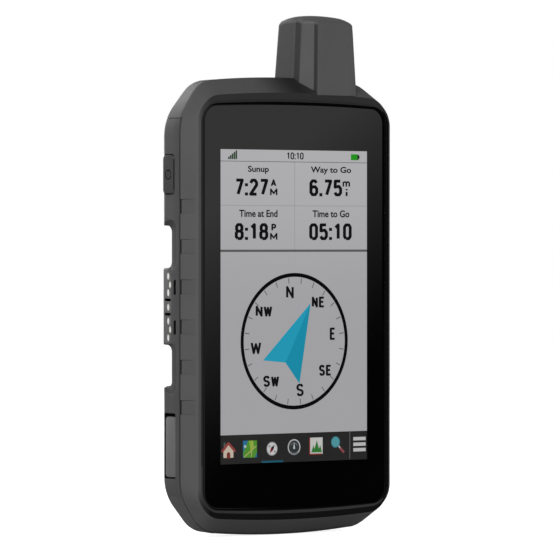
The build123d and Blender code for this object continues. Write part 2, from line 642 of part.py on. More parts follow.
# Cradle contact block on the left side, its face leaning back
with BuildPart() as contact_block:
    with BuildSketch(Plane.XY.offset(MIDDLE_Z - NOTCH_INNER_Z)):
        with BuildLine():
            Polyline(BLOCK_EDGE, BLOCK_TAIL, (-40.0, 5.6), (-40.0, BLOCK_FRONT_Y), close=True)
        make_face()
    extrude(amount=2 * NOTCH_INNER_Z)
    for height in PAD_Z:
        across = FORWARD_PAD_Y if height in FORWARD_PADS else PAD_Y
        with Locations(Location((-42.0, across, height), (0, 90, 0))):
            Cylinder(PAD_RADIUS + 0.02, 8.0, mode=Mode.SUBTRACT)
    for height in (82.3, 77.3):
        cut_box((-46.0, -2.7, height - 0.5), (-41.0, 3.0, height + 0.5))
contact_block.part.label = "contact_block"
export_step(contact_block.part, "parts/contact_block.step")

# Contact pins, cut off level with the leaning face
with BuildPart() as contact_pins:
    for height in PAD_Z:
        across = FORWARD_PAD_Y if height in FORWARD_PADS else PAD_Y
        with Locations(Location((-42.9, across, height), (0, 90, 0))):
            Cylinder(PAD_RADIUS, 6.0)
    with BuildSketch(Plane.XY.offset(MIDDLE_Z - NOTCH_INNER_Z)):
        with BuildLine():
            Polyline(BLOCK_EDGE, BLOCK_TAIL, (-48.0, 4.5), (-48.0, BLOCK_FRONT_Y), close=True)
        make_face()
    extrude(amount=2 * NOTCH_INNER_Z, mode=Mode.SUBTRACT)
contact_pins.part.label = "contact_pins"
export_step(contact_pins.part, "parts/contact_pins.step")

with BuildPart() as contact_board:
    fill_box((-39.9, -2.6, 68.6), (-39.1, 2.0, 91.4))
contact_board.part.label = "contact_board"
export_step(contact_board.part, "parts/contact_board.step")


def flap_plate(side, low, high):
    """Cover plate of a socket cap, thinned at its lower end so it can swing."""
    with BuildSketch(Plane.XY.offset(low)) as plate:
        with BuildLine():
            Polyline((side * 45.05, CAP_FRONT_Y), (side * 44.6, CAP_BACK_Y),
                     (side * 42.95, CAP_BACK_Y), (side * 42.95, CAP_FRONT_Y), close=True)
        make_face()
    extrude(plate.sketch, amount=high - low)
    chamfer(edges().filter_by(Axis.Y).filter_by(
        lambda e: abs(e.center().Z - low) < 0.01 and abs(e.center().X) < 43.0), 1.2)


with BuildPart() as usb_cap:
    flap_plate(-1, *USB_CAP_Z)
    fill_box((-43.0, -3.7, 28.4), (-41.6, -1.6, 35.6))
usb_cap.part.label = "usb_cap"
export_step(usb_cap.part, "parts/usb_cap.step")

with BuildPart() as usb_socket:
    with BuildSketch(Plane.YZ.offset(-41.4)):
        with Locations((-2.65, 32.0)):
            RectangleRounded(3.2, 9.0, 1.1)
            RectangleRounded(2.6, 8.4, 0.9, mode=Mode.SUBTRACT)
    extrude(amount=7.0)
    fill_box((-40.6, -2.95, 28.9), (-34.4, -2.35, 35.1))
    fill_box((-34.9, -4.25, 27.5), (-34.4, -1.05, 36.5))
usb_socket.part.label = "usb_socket"
export_step(usb_socket.part, "parts/usb_socket.step")

with BuildPart() as usb_board:
    fill_box((-40.4, -5.25, 25.0), (-32.0, -4.25, 39.0))
usb_board.part.label = "usb_board"
export_step(usb_board.part, "parts/usb_board.step")

with BuildPart() as antenna_socket_cap:
    flap_plate(1, *SOCKET_CAP_Z)
    with Locations(Location((42.3, -2.65, 125.5), (0, 90, 0))):
        Cylinder(1.5, 1.4)
antenna_socket_cap.part.label = "antenna_socket_cap"
export_step(antenna_socket_cap.part, "parts/antenna_socket_cap.step")

with BuildPart() as antenna_socket:
    with Locations(Location((37.7, -2.65, 125.5), (0, 90, 0))):
        Cylinder(2.35, 7.4)
    with Locations(Location((39.4, -2.65, 125.5), (0, 90, 0))):
        Cylinder(1.75, 5.0, mode=Mode.SUBTRACT)
    with Locations(Location((38.4, -2.65, 125.5), (0, 90, 0))):
        Cylinder(0.4, 5.0)
antenna_socket.part.label = "antenna_socket"
export_step(antenna_socket.part, "parts/antenna_socket.step")

# Loudspeaker behind its grille
with BuildPart() as speaker:
    with BuildSketch(section(9.6)):
        with Locations((0, 127.0)):
            Circle(11.0)
    extrude(amount=-4.2)
    with BuildSketch(section(8.4)):
        with Locations((0, 127.0)):
            Circle(7.0)
    extrude(amount=-1.2)
    with BuildSketch(section(BACK_INNER_Y)):
        with Locations((0, 127.0)):
            Circle(9.0)
    extrude(amount=1.0, mode=Mode.SUBTRACT)
speaker.part.label = "speaker"
export_step(speaker.part, "parts/speaker.step")

with BuildPart() as speaker_gasket:
    with BuildSketch(section(13.8)):
        with Locations((0, 127.0)):
            Circle(11.0)
            Circle(9.2, mode=Mode.SUBTRACT)
    extrude(amount=-0.5)
speaker_gasket.part.label = "speaker_gasket"
export_step(speaker_gasket.part, "parts/speaker_gasket.step")

with BuildPart() as speaker_mesh:
    with BuildSketch(section(14.1)):
        with Locations((0, 127.0)):
            Circle(9.1)
    extrude(amount=-0.2)
speaker_mesh.part.label = "speaker_mesh"
export_step(speaker_mesh.part, "parts/speaker_mesh.step")

# Battery pack and its terminals
with BuildPart() as battery_pack:
    fill_box((-25.0, BAY_FLOOR_Y + 0.1, BAY_BOTTOM + 0.3), (25.0, 12.3, 106.4))
    fillet(edges().filter_by(Axis.Y), 4.0)
    for column in (-6, -2, 2, 6):
        cut_box((column - 1.2, 1.6, 106.0), (column + 1.2, 8.4, 107.0))
battery_pack.part.label = "battery_pack"
export_step(battery_pack.part, "parts/battery_pack.step")

with BuildPart() as battery_terminals:
    for column in (-6, -2, 2, 6):
        fill_box((column - 1.2, 1.6, 106.0), (column + 1.2, 8.4, 106.4))
battery_terminals.part.label = "battery_terminals"
export_step(battery_terminals.part, "parts/battery_terminals.step")

with BuildPart() as battery_contact_block:
    fill_box((-8.0, -2.0, BAY_TOP + 0.1), (8.0, 9.0, 110.6))
    for column in (-6, -2, 2, 6):
        cut_box((column - 0.9, 1.8, BAY_TOP), (column + 0.9, 8.2, 109.0))
battery_contact_block.part.label = "battery_contact_block"
export_step(battery_contact_block.part, "parts/battery_contact_block.step")

with BuildPart() as battery_contacts:
    for column in (-6, -2, 2, 6):
        fill_box((column - 0.8, 2.0, 106.45), (column + 0.8, 8.0, 109.0))
        cut_box((column - 1.0, 2.4, 106.8), (column + 1.0, 7.6, 109.5))
battery_contacts.part.label = "battery_contacts"
export_step(battery_contacts.part, "parts/battery_contacts.step")

# Seal, door and pad over the battery bay
with BuildPart() as door_seal:
    with BuildSketch(section(DOOR_SEAT_Y)):
        with Locations((0, (DOOR_BOTTOM + DOOR_TOP) / 2)):
            RectangleRounded(2 * DOOR_HALF_WIDTH - 0.2, DOOR_TOP - DOOR_BOTTOM - 0.2, 9.8)
            RectangleRounded(2 * DOOR_HALF_WIDTH - 3.6, DOOR_TOP - DOOR_BOTTOM - 3.6, 8.2, mode=Mode.SUBTRACT)
    extrude(amount=-0.4)
door_seal.part.label = "door_seal"
export_step(door_seal.part, "parts/door_seal.step")

with BuildPart() as battery_door:
    with BuildSketch(section(DOOR_SEAT_Y + 0.4)):
        with Locations((0, (DOOR_BOTTOM + DOOR_TOP) / 2)):
            RectangleRounded(2 * DOOR_HALF_WIDTH, DOOR_TOP - DOOR_BOTTOM, 9.8)
    extrude(amount=DOOR_SEAT_Y + 0.4 - BACK_Y)
    chamfer(faces().sort_by(Axis.Y)[-1].edges(), 0.5)
    with BuildSketch(section(11.2)):
        with Locations((0, LATCH_Z)):
            Circle(15.1)
    extrude(amount=-2.2)
    with BuildSketch(section(13.3)):
        with Locations((0, LATCH_Z)):
            Circle(14.2)
    extrude(amount=-8.0, mode=Mode.SUBTRACT)
    with BuildSketch(section(10.0)):
        with Locations((0, LATCH_Z)):
            Circle(4.05)
    extrude(amount=-8.0, mode=Mode.SUBTRACT)
battery_door.part.label = "battery_door"
export_step(battery_door.part, "parts/battery_door.step")

with BuildPart() as door_pad:
    fill_box((-18.0, 12.35, 58.0), (18.0, DOOR_SEAT_Y + 0.4, 98.0))
door_pad.part.label = "door_pad"
export_step(door_pad.part, "parts/door_pad.step")


def latch_disc(radius, near, far, mode=Mode.ADD):
    """Round slice on the latch axis between two depths."""
    with BuildSketch(section(near)) as disc:
        with Locations((0, LATCH_Z)):
            Circle(radius)
    extrude(disc.sketch, amount=near - far, mode=mode)


# Latch: headed spindle, its clip, seal and cam
with BuildPart() as latch_spindle:
    latch_disc(6.0, 13.4, 16.45)
    latch_disc(4.0, 8.2, 13.4)
    latch_disc(5.0, 12.0, 12.6, Mode.SUBTRACT)
    latch_disc(3.2, 12.0, 12.6)
    latch_disc(5.0, 10.6, 11.1, Mode.SUBTRACT)
    latch_disc(3.0, 10.6, 11.1)
    latch_disc(5.0, 8.2, 10.5, Mode.SUBTRACT)
    fill_box((-2.5, 8.2, LATCH_Z - 2.5), (2.5, 10.5, LATCH_Z + 2.5))
    latch_disc(0.9, 7.0, 12.0, Mode.SUBTRACT)
    with Locations(Location((0, RING_Y, LATCH_Z), (0, 90, 0))):
        Cylinder(RING_WIRE + 0.06, 20.0, mode=Mode.SUBTRACT)
latch_spindle.part.label = "latch_spindle"
export_step(latch_spindle.part, "parts/latch_spindle.step")

with BuildPart() as latch_seal:
    latch_disc(4.03, 12.02, 12.58)
    latch_disc(3.22, 12.0, 12.6, Mode.SUBTRACT)
latch_seal.part.label = "latch_seal"
export_step(latch_seal.part, "parts/latch_seal.step")

with BuildPart() as latch_clip:
    latch_disc(5.6, 10.65, 11.05)
    latch_disc(3.02, 10.6, 11.2, Mode.SUBTRACT)
    cut_box((-2.0, 10.0, LATCH_Z - 8.0), (2.0, 12.0, LATCH_Z))
latch_clip.part.label = "latch_clip"
export_step(latch_clip.part, "parts/latch_clip.step")

with BuildPart() as latch_cam:
    with BuildSketch(section(8.4)):
        with Locations((0, LATCH_Z)):
            SlotOverall(26.0, 9.0)
            Rectangle(5.04, 5.04, mode=Mode.SUBTRACT)
    extrude(amount=-2.0)
latch_cam.part.label = "latch_cam"
export_step(latch_cam.part, "parts/latch_cam.step")

with BuildPart() as cam_screw:
    latch_disc(3.4, 7.2, 8.15)
    latch_disc(0.88, 8.15, 11.9)
    cut_box((-2.4, 7.0, LATCH_Z - 0.3), (2.4, 7.6, LATCH_Z + 0.3))
cam_screw.part.label = "cam_screw"
export_step(cam_screw.part, "parts/cam_screw.step")

# D-ring that folds flat round the spindle head
with BuildPart() as d_ring:
    with Locations(Location((0, RING_Y, LATCH_Z), (0, 90, 0))):
        Cylinder(RING_WIRE, 14.0)
    with BuildSketch(Plane(origin=(9.5, RING_Y, LATCH_Z - 2.5), z_dir=(0, 0, 1))):
        Circle(RING_WIRE)
    revolve(axis=Axis((0, RING_Y, LATCH_Z - 2.5), (0, 1, 0)), revolution_arc=180)
    for side in (-1, 1):
        with BuildSketch(Plane(origin=(side * 9.5, RING_Y, LATCH_Z - 2.5), z_dir=(0, 0, 1))):
            Circle(RING_WIRE)
        revolve(axis=Axis((side * 7.0, RING_Y, LATCH_Z - 2.5), (0, -side, 0)), revolution_arc=90)
d_ring.part.label = "d_ring"
export_step(d_ring.part, "parts/d_ring.step")
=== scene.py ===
import json
import math

import bmesh
import bpy
import numpy as np
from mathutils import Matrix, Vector


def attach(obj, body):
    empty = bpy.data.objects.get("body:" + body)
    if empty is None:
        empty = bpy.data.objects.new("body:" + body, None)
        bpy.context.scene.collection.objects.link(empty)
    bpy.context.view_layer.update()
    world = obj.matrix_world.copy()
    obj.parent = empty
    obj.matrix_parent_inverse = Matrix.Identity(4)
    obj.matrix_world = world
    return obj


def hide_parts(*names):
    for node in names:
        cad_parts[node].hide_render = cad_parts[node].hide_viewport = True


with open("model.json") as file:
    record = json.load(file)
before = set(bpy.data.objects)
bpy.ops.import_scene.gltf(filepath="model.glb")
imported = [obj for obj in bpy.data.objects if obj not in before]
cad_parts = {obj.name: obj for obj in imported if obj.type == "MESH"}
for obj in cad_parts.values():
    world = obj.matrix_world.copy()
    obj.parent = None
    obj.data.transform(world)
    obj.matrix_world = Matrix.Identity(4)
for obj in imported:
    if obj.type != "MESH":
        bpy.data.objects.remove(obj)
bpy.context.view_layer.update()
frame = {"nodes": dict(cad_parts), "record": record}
NODES = frame["nodes"]
MM = 0.001
WHITE = (1, 1, 1, 1)
INK_PAINTED_REFLECTION = 0.034

# Depth levels and outlines of the body in millimetres, the same as the CAD part's
MIDDLE_Z = 80.0
LIP_Y, RIM_Y, LEDGE_Y = -16.2, -15.75, -15.0
DISPLAY_Y, TRAY_Y, PARTING_Y, SHUT_LINE_Y, BEVEL_Y = -15.2, -13.4, -8.2, -9.0, 1.2
BACK_INNER_Y, BACK_Y = 14.3, 16.5
POCKET = (40.85, 66.1, 37.0, 69.95, 71.05, 6.5, 6.5)
LIP = (41.5, 66.2, 37.0, 70.7, 72.0, 7.0, 7.0)
RIM = (42.76, 67.0, 37.0, 72.85, 74.4, 9.2, 9.2)
RIDGE = (45.5, 65.0, 36.6, 78.0, 80.0, 17.0, 12.0)
REAR = (45.45, 64.9, 36.4, 78.0, 80.0, 17.0, 12.0)
SHUT_LINE = (44.6, 64.5, 36.1, 77.1, 79.1, 16.6, 11.6)
BEVEL = (44.65, 65.0, 33.2, 78.2, 79.7, 16.0, 12.0)
BACK = (31.5, 60.0, 24.0, 68.4, 69.6, 6.0, 6.0)
FRONT_HOLLOW = (41.4, 61.5, 29.6, 73.4, 74.2, 9.0, 9.0)
REAR_HOLLOW = (42.9, 62.0, 30.0, 75.6, 76.6, 9.0, 9.0)
BEVEL_HOLLOW = (42.3, 61.6, 29.7, 75.2, 76.2, 9.0, 9.0)
BACK_HOLLOW = (31.0, 58.5, 23.5, 66.8, 67.8, 6.0, 6.0)
SEAM_Z = 145.2
GRIP_Z = (6.9, 20.75, 34.6)  # thumb grips above and below the middle
GRIP_TALL = 5.0
NOTCH_Z, NOTCH_TALL, NOTCH_Y, NOTCH_RADIUS = 20.675, 14.75, -2.5, 2.4
SCREWS = [(side * 37.0, height) for side in (-1, 1) for height in (16.5, 47.0, 113.0, 139.0)]
SLOT_MIDDLE_Z, SLOT_PITCH = 127.0, 2.8
AERIAL_FOOT_Z = 153.8


# ------------------------------------------------------------------ mesh helpers

AXES = {"x": (1, 2, 0), "y": (0, 2, 1), "z": (0, 1, 2)}  # the two across and the one along


def new_object(name, verts, faces):
    """Mesh object from millimetre coordinates."""
    mesh = bpy.data.meshes.new(name)
    mesh.from_pydata([tuple(c * MM for c in v) for v in verts], [], faces)
    mesh.validate()
    obj = bpy.data.objects.new(name, mesh)
    bpy.context.scene.collection.objects.link(obj)
    return obj


def corner_arc(before, at, after, radius, steps):
    """Points of the round between two straight runs that meet at a corner."""
    before, at, after = (np.array(p, float) for p in (before, at, after))
    u = (before - at) / np.linalg.norm(before - at)
    w = (after - at) / np.linalg.norm(after - at)
    half = math.acos(max(-1.0, min(1.0, float(u @ w)))) / 2
    start, end = at + u * radius / math.tan(half), at + w * radius / math.tan(half)
    middle = (u + w) / np.linalg.norm(u + w)
    centre = at + middle * radius / math.sin(half)
    a0 = math.atan2(*(start - centre)[::-1])
    a1 = math.atan2(*(end - centre)[::-1])
    turn = (a1 - a0 + math.pi) % (2 * math.pi) - math.pi
    angles = [a0 + turn * i / steps for i in range(steps + 1)]
    return [centre + radius * np.array((math.cos(a), math.sin(a))) for a in angles]


def body_outline(side, cut_z, cut_x, end_z, crown, side_radius, end_radius):
    """Loop of (x, z) points round the body outline, with the same count for every outline."""
    rise = crown - end_z
    big = (cut_x ** 2 + rise ** 2) / (2 * rise)
    low = crown - big
    tangent = np.array((-(end_z - low), cut_x)) / big
    beyond = np.array((cut_x, end_z)) + tangent * 9
    first = corner_arc((side, 0), (side, cut_z), (cut_x, end_z), side_radius, 10)
    second = corner_arc((side, cut_z), (cut_x, end_z), beyond, end_radius, 10)
    points = [np.array((side, first[0][1] * i / 30)) for i in range(30)] + first
    points += [first[-1] + (second[0] - first[-1]) * i / 4 for i in (1, 2, 3)]
    points += second
    a0 = math.atan2(second[-1][1] - low, second[-1][0])
    for i in range(1, 19):
        a = a0 + (math.pi / 2 - a0) * i / 18
        points.append(np.array((big * math.cos(a), low + big * math.sin(a))))
    quarter = np.array(points)
    quarter[-1][0] = 0.0
    left = quarter[::-1][1:] * (-1, 1)
    top = np.vstack((quarter, left))
    bottom = top[::-1][1:-1] * (1, -1)
    return np.vstack((top, bottom))


def ring(depth, outline, grow=0.0):
    """Outline as a ring of points at a depth; grow moves it out or in."""
    side, cut_z, cut_x, end_z, crown, r1, r2 = outline
    flat = body_outline(side + grow, cut_z + grow * 0.41, cut_x + grow * 0.41, end_z + grow,
                        crown + grow, r1, r2)
    return np.column_stack((flat[:, 0], np.full(len(flat), depth), flat[:, 1] + MIDDLE_Z))


def round_rings(rings, setbacks, steps=5):
    """Rounds the edge at some rings by a setback along the surface on both sides."""
    out = []
    for i, here in enumerate(rings):
        reach = setbacks.get(i)
        if not reach:
            out.append(here)
            continue
        before, after = rings[i - 1] - here, rings[i + 1] - here
        lb = np.linalg.norm(before, axis=1)[:, None]
        la = np.linalg.norm(after, axis=1)[:, None]
        a = here + before / lb * np.minimum(reach, lb * 0.48)
        b = here + after / la * np.minimum(reach, la * 0.48)
        for k in range(steps + 1):
            t = k / steps
            out.append((1 - t) ** 2 * a + 2 * t * (1 - t) * here + t ** 2 * b)
    return out


def loft(name, rings):
    """Closed solid through a stack of rings, with flat ends."""
    n = len(rings[0])
    verts = np.vstack(rings)
    faces = []
    for i in range(len(rings) - 1):
        for j in range(n):
            k = (j + 1) % n
            faces.append((i * n + j, i * n + k, (i + 1) * n + k, (i + 1) * n + j))
    last = (len(rings) - 1) * n
    faces.append(tuple(range(n))[::-1])
    faces.append(tuple(last + j for j in range(n)))
    obj = new_object(name, verts, faces)
    outward(obj)
    return obj


def outward(obj):
    """Turns every face's normal outward."""
    bm = bmesh.new()
    bm.from_mesh(obj.data)
    bmesh.ops.recalc_face_normals(bm, faces=bm.faces)
    bm.to_mesh(obj.data)
    bm.free()


def rounded_loop(u0, v0, u1, v1, radius, steps):
    """Rectangle between two corners as a loop of points, rounded if a radius is given."""
    square = [(u0, v0), (u1, v0), (u1, v1), (u0, v1)]
    if not radius:
        return [np.array(corner, float) for corner in square]
    return [p for i in range(4)
            for p in corner_arc(square[i - 1], square[i], square[(i + 1) % 4], radius, steps)]


def rounded_box(low, high, radius=0.0, axis="y", steps=5):
    """Box between two corners, rounded round one axis, to cut or join another piece."""
    a, b, c = AXES[axis]
    loop = rounded_loop(low[a], low[b], high[a], high[b], radius, steps)
    rings = []
    for level in (low[c], high[c]):
        part = np.zeros((len(loop), 3))
        part[:, a] = [p[0] for p in loop]
        part[:, b] = [p[1] for p in loop]
        part[:, c] = level
        rings.append(part)
    return loft("cut", rings)


def round_bar(centre, radius, length, axis="y", steps=40):
    """Cylinder along an axis, centred on a point, to cut or join another piece."""
    a, b, c = AXES[axis]
    rings = []
    for end in (-0.5, 0.5):
        part = np.zeros((steps, 3))
        for i in range(steps):
            t = 2 * math.pi * i / steps
            part[i][a] = centre[a] + radius * math.cos(t)
            part[i][b] = centre[b] + radius * math.sin(t)
            part[i][c] = centre[c] + end * length
        rings.append(part)
    return loft("cut", rings)


def cut(target, cutters, operation="DIFFERENCE"):
    """Boolean of one object with several others, applied to its mesh."""
    for cutter in cutters:
        mod = target.modifiers.new("cut", "BOOLEAN")
        mod.operation = operation
        mod.solver = "EXACT"
        mod.object = cutter
    depsgraph = bpy.context.evaluated_depsgraph_get()
    mesh = bpy.data.meshes.new_from_object(target.evaluated_get(depsgraph))
    target.modifiers.clear()
    old = target.data
    target.data = mesh
    bpy.data.meshes.remove(old)
    for cutter in cutters:
        data = cutter.data
        bpy.data.objects.remove(cutter)
        bpy.data.meshes.remove(data)


def shade(obj, angle=32.0):
    """Smooth shading with creases kept sharp."""
    mesh = obj.data
    mesh.polygons.foreach_set("use_smooth", [True] * len(mesh.polygons))
    mesh.set_sharp_from_angle(angle=math.radians(angle))


def darken(obj, amount):
    """Darkens some faces, mostly as painted shade and on the front rim and lip also as a darker finish:
    amount gives 0 to 1 from a face's centre (mm) and normal.
    """
    mesh = obj.data
    layer = mesh.attributes.get("painted_shade_and_dark_finish") or mesh.attributes.new("painted_shade_and_dark_finish", "FLOAT", "FACE")
    layer.data.foreach_set("value", [amount(face.center / MM, face.normal) for face in mesh.polygons])


def place(obj, material, body, slot_name, *nodes):
    """Gives a finished piece its material and body, and hides the CAD nodes it stands for. Its slot
    name is not used.
    """
    obj.data.materials.clear()
    obj.data.materials.append(material)
    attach(obj, body)
    if nodes:
        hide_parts(*nodes)


# ------------------------------------------------------------------ materials

class Graph:
    """Builds a node tree. A new node's inputs are values, or sockets to wire to it."""

    def __init__(self, owner, clear=True):
        owner.use_nodes = True
        self.tree = owner.node_tree
        if clear:
            self.tree.nodes.clear()

    def add(self, kind, inputs=None, **settings):
        node = self.tree.nodes.new("ShaderNode" + kind)
        for key, value in settings.items():
            setattr(node, key, value)
        for key, value in (inputs or {}).items():
            self.feed(node, key, value)
        return node

    def feed(self, node, key, value):
        if isinstance(value, bpy.types.NodeSocket):
            self.tree.links.new(value, node.inputs[key])
        else:
            node.inputs[key].default_value = value

    def noise(self, scale, detail, roughness=0.5):
        """Noise with a number of cells per millimetre."""
        return self.add("TexNoise", {"Scale": scale / MM, "Detail": detail, "Roughness": roughness,
                                     "Vector": self.place()}).outputs["Fac"]

    def place(self):
        return self.add("TexCoord").outputs["Object"]

    def axes(self, socket):
        return self.add("SeparateXYZ", {0: socket})

    def ramp(self, source, low, high, a=0.0, b=1.0, **settings):
        return self.add("MapRange", {"From Min": low, "From Max": high, "To Min": a, "To Max": b,
                                     "Value": source}, **settings).outputs[0]

    def maths(self, operation, *values):
        return self.add("Math", dict(enumerate(values)), operation=operation).outputs[0]

    def blend(self, factor, a, b, **settings):
        return self.add("Mix", {"Factor": factor, 6: a, 7: b}, data_type="RGBA", **settings).outputs[2]

    def bsdf(self):
        """Principled surface joined to the output."""
        out, bsdf = self.add("OutputMaterial"), self.add("BsdfPrincipled")
        self.feed(out, 0, bsdf.outputs[0])
        return bsdf

    def glow(self, strength):
        """Adds white light of a given strength to the principled surface already there."""
        surface = next(node for node in self.tree.nodes if node.type == "BSDF_PRINCIPLED")
        self.feed(surface, "Emission Strength", strength)
        self.feed(surface, "Emission Color", WHITE)


def tone(colour, times=1.0, plus=0.0):
    """Colour with its channels scaled, lifted and held below one."""
    return (*[min(1.0, c * times + plus) for c in colour], 1)


def material(name, colour, rough=0.5, metal=0.0, grain=3.0, bump=0.02, mottle=0.08, wear=0.0,
             coat=0.0, edge=0.25, sheen=0.0, weave=0.0, specular=0.5):
    """Procedural finish: fine grain bump, soft colour mottling, roughness variation and edge wear.
    Grain is in cells per millimetre, bump and edge are in millimetres."""
    mat = bpy.data.materials.new(name)
    g = Graph(mat)
    bsdf = g.bsdf()
    fine, broad = g.noise(grain, 3.0, 0.6), g.noise(0.06, 4.0, 0.55)
    tint = g.blend(g.ramp(broad, 0.3, 0.7), tone(colour, 1 - mottle), tone(colour, 1 + mottle))
    grit = g.ramp(fine, 0.3, 0.7, 1 - mottle * 0.8, 1 + mottle * 0.8)
    tint = g.blend(1.0, tint, grit, blend_type="MULTIPLY")
    bevel = g.add("Bevel", {"Radius": edge * MM}, samples=4).outputs[0]
    if wear:
        normal = g.add("NewGeometry").outputs["Normal"]
        dot = g.add("VectorMath", {0: bevel, 1: normal}, operation="DOT_PRODUCT").outputs["Value"]
        rub = g.maths("MULTIPLY", g.ramp(dot, 0.97, 0.8, 0.0, wear), g.ramp(broad, 0.42, 0.62))
        tint = g.blend(rub, tint, tone(colour, 2.2, 0.03))
    # Faces darkened by darken: painted shade in recesses, gaps and turned-away faces, and the darker
    # finish of the front rim and lip
    painted_shade_and_dark_finish = g.add("Attribute", attribute_name="painted_shade_and_dark_finish").outputs["Fac"]
    relief = fine
    if weave:
        relief = g.add("TexVoronoi", {"Scale": weave / MM, "Vector": g.place()}).outputs["Distance"]
    bumped = g.add("Bump", {"Strength": 1.0, "Distance": bump * MM, "Height": relief, "Normal": bevel})
    for key, value in {
        "Base Color": g.blend(painted_shade_and_dark_finish, tint, (0.001, 0.001, 0.001, 1)),
        "Metallic": metal,
        "Specular IOR Level": g.ramp(painted_shade_and_dark_finish, 0.0, 1.0, specular, 0.0),
        "Coat Weight": coat,
        "Coat Roughness": 0.08,
        "Sheen Weight": sheen,
        "Roughness": g.ramp(broad, 0.25, 0.75, rough * 0.9, min(1.0, rough * 1.12)),
        "Normal": bumped.outputs[0],
    }.items():
        g.feed(bsdf, key, value)
    return mat


def glowing(name, colour, strength=1.0, fade=0.0):
    """Lit part of the display, dimmed by fade towards the screen's foot, with faint pixel rows."""
    mat = bpy.data.materials.new(name)
    g = Graph(mat)
    bsdf = g.bsdf()
    pixels = g.add("TexWave", {"Scale": 0.8 / MM, "Vector": g.place()}, wave_type="BANDS",
                   bands_direction="Z")
    rows = g.ramp(pixels.outputs["Fac"], 0.0, 1.0, 0.985, 1.015)
    dim = g.ramp(g.axes(g.place()).outputs["Z"], 70 * MM, 134 * MM, 1.0 - fade, 1.0,
                 interpolation_type="SMOOTHSTEP")
    for key, value in {
        "Emission Strength": g.maths("MULTIPLY", g.maths("MULTIPLY", rows, dim), strength),
        "Emission Color": (*colour, 1),
        "Base Color": tone(colour, 0.012),
        "Roughness": 0.4,
        "Specular IOR Level": 0.0,
    }.items():
        g.feed(bsdf, key, value)
    return mat


def clear_glass():
    """Clear coated glass with faint smears. Its grey reflection is painted into the border printed
    behind it.
    """
    mat = bpy.data.materials.new("coated_glass")
    g = Graph(mat)
    haze = g.blend(g.noise(0.05, 5.0), (0.975, 0.975, 0.98, 1), (0.99, 0.99, 0.995, 1))
    clear = g.add("BsdfTransparent", {"Color": haze})
    g.feed(g.add("OutputMaterial"), 0, clear.outputs[0])
    return mat


SHELL = {"rough": 0.62, "grain": 5.0, "bump": 0.012, "mottle": 0.05, "edge": 0.35}
PRINT = {"grain": 6.0, "bump": 0.001, "mottle": 0.1, "specular": 0.0, "edge": 0.02}
MAT = {
    "housing": material("housing_plastic", (0.062, 0.062, 0.064), wear=0.25, **SHELL),
    "aerial": material("aerial_plastic", (0.071, 0.071, 0.073), wear=0.2, **SHELL),
    "rubber_cap": material("cap_rubber", (0.105, 0.105, 0.106), 0.7, grain=4.0, bump=0.01,
                           mottle=0.06, wear=0.15, edge=0.3, sheen=0.1),
    "key_plastic": material("key_rubber", (0.033, 0.033, 0.034), 0.6, grain=5.0, bump=0.008,
                            mottle=0.05, wear=0.3, edge=0.3),
    "cover_glass": clear_glass(),
    "ink": material("ink_with_painted_reflection", (0.0012, 0.0012, 0.0013), 0.5, **PRINT),
    "edge_ink": material("edge_ink", (0.001, 0.001, 0.001), 0.6, **PRINT),
    "adhesive": material("foam_tape", (0.03, 0.03, 0.03), 0.8, grain=8.0, bump=0.02),
    "display": material("panel_case", (0.02, 0.02, 0.022), 0.35, grain=2.0, bump=0.002, edge=0.05),
    "tray_metal": material("stamped_tray", (0.55, 0.56, 0.57), 0.32, metal=1.0, grain=9.0,
                           bump=0.004, mottle=0.04),
    "flex": material("amber_ribbon", (0.42, 0.2, 0.04), 0.35, grain=4.0, bump=0.004, mottle=0.15),
    "board": material("solder_mask", (0.012, 0.1, 0.045), 0.35, grain=1.2, bump=0.01,
                      mottle=0.25, coat=0.3),
    "screw_steel": material("plated_screw", (0.32, 0.32, 0.33), 0.34, metal=1.0, grain=8.0,
                            bump=0.004, wear=0.3),
    "tin_plate": material("tin_plate", (0.6, 0.6, 0.58), 0.3, metal=1.0, grain=6.0, bump=0.003,
                          mottle=0.05),
    "chip": material("chip_resin", (0.02, 0.02, 0.022), 0.55, grain=10.0, bump=0.006, mottle=0.1),
    "dark_plastic": material("contact_plastic", (0.028, 0.028, 0.029), 0.55, grain=6.0, bump=0.008,
                             mottle=0.06, edge=0.2),
    "ceramic": material("fired_ceramic", (0.68, 0.64, 0.56), 0.45, grain=7.0, bump=0.006, mottle=0.04),
    "copper": material("plated_copper", (0.8, 0.4, 0.22), 0.3, metal=1.0, grain=6.0, bump=0.003,
                       mottle=0.08),
    "gold": material("gilt_contact", (0.8, 0.79, 0.75), 0.4, metal=0.3, grain=7.0, bump=0.003,
                     mottle=0.06, edge=0.1),
    "rubber_seal": material("silicone_seal", (0.02, 0.02, 0.021), 0.65, grain=5.0, bump=0.006),
    "cable": material("cable_jacket", (0.03, 0.03, 0.031), 0.5, grain=6.0, bump=0.004),
    "speaker_body": material("speaker_frame", (0.035, 0.035, 0.036), 0.5, grain=5.0, bump=0.008),
    "mesh": material("woven_mesh", (0.012, 0.012, 0.012), 0.8, weave=6.0, bump=0.06),
    "battery": material("pack_sleeve", (0.05, 0.052, 0.058), 0.5, grain=3.0, bump=0.01,
                        mottle=0.06, wear=0.3),
    "foam": material("cell_foam", (0.04, 0.04, 0.042), 0.9, weave=3.0, bump=0.15),
    "ring_steel": material("satin_steel", (0.5, 0.5, 0.51), 0.3, metal=1.0, grain=9.0,
                           bump=0.004, mottle=0.05, wear=0.2),
}

for part in frame["record"]["subparts"]:
    node = NODES[part["node"]]
    node.data.materials.clear()
    node.data.materials.append(MAT[part["material_slot"]])

# ------------------------------------------------------------------ housings

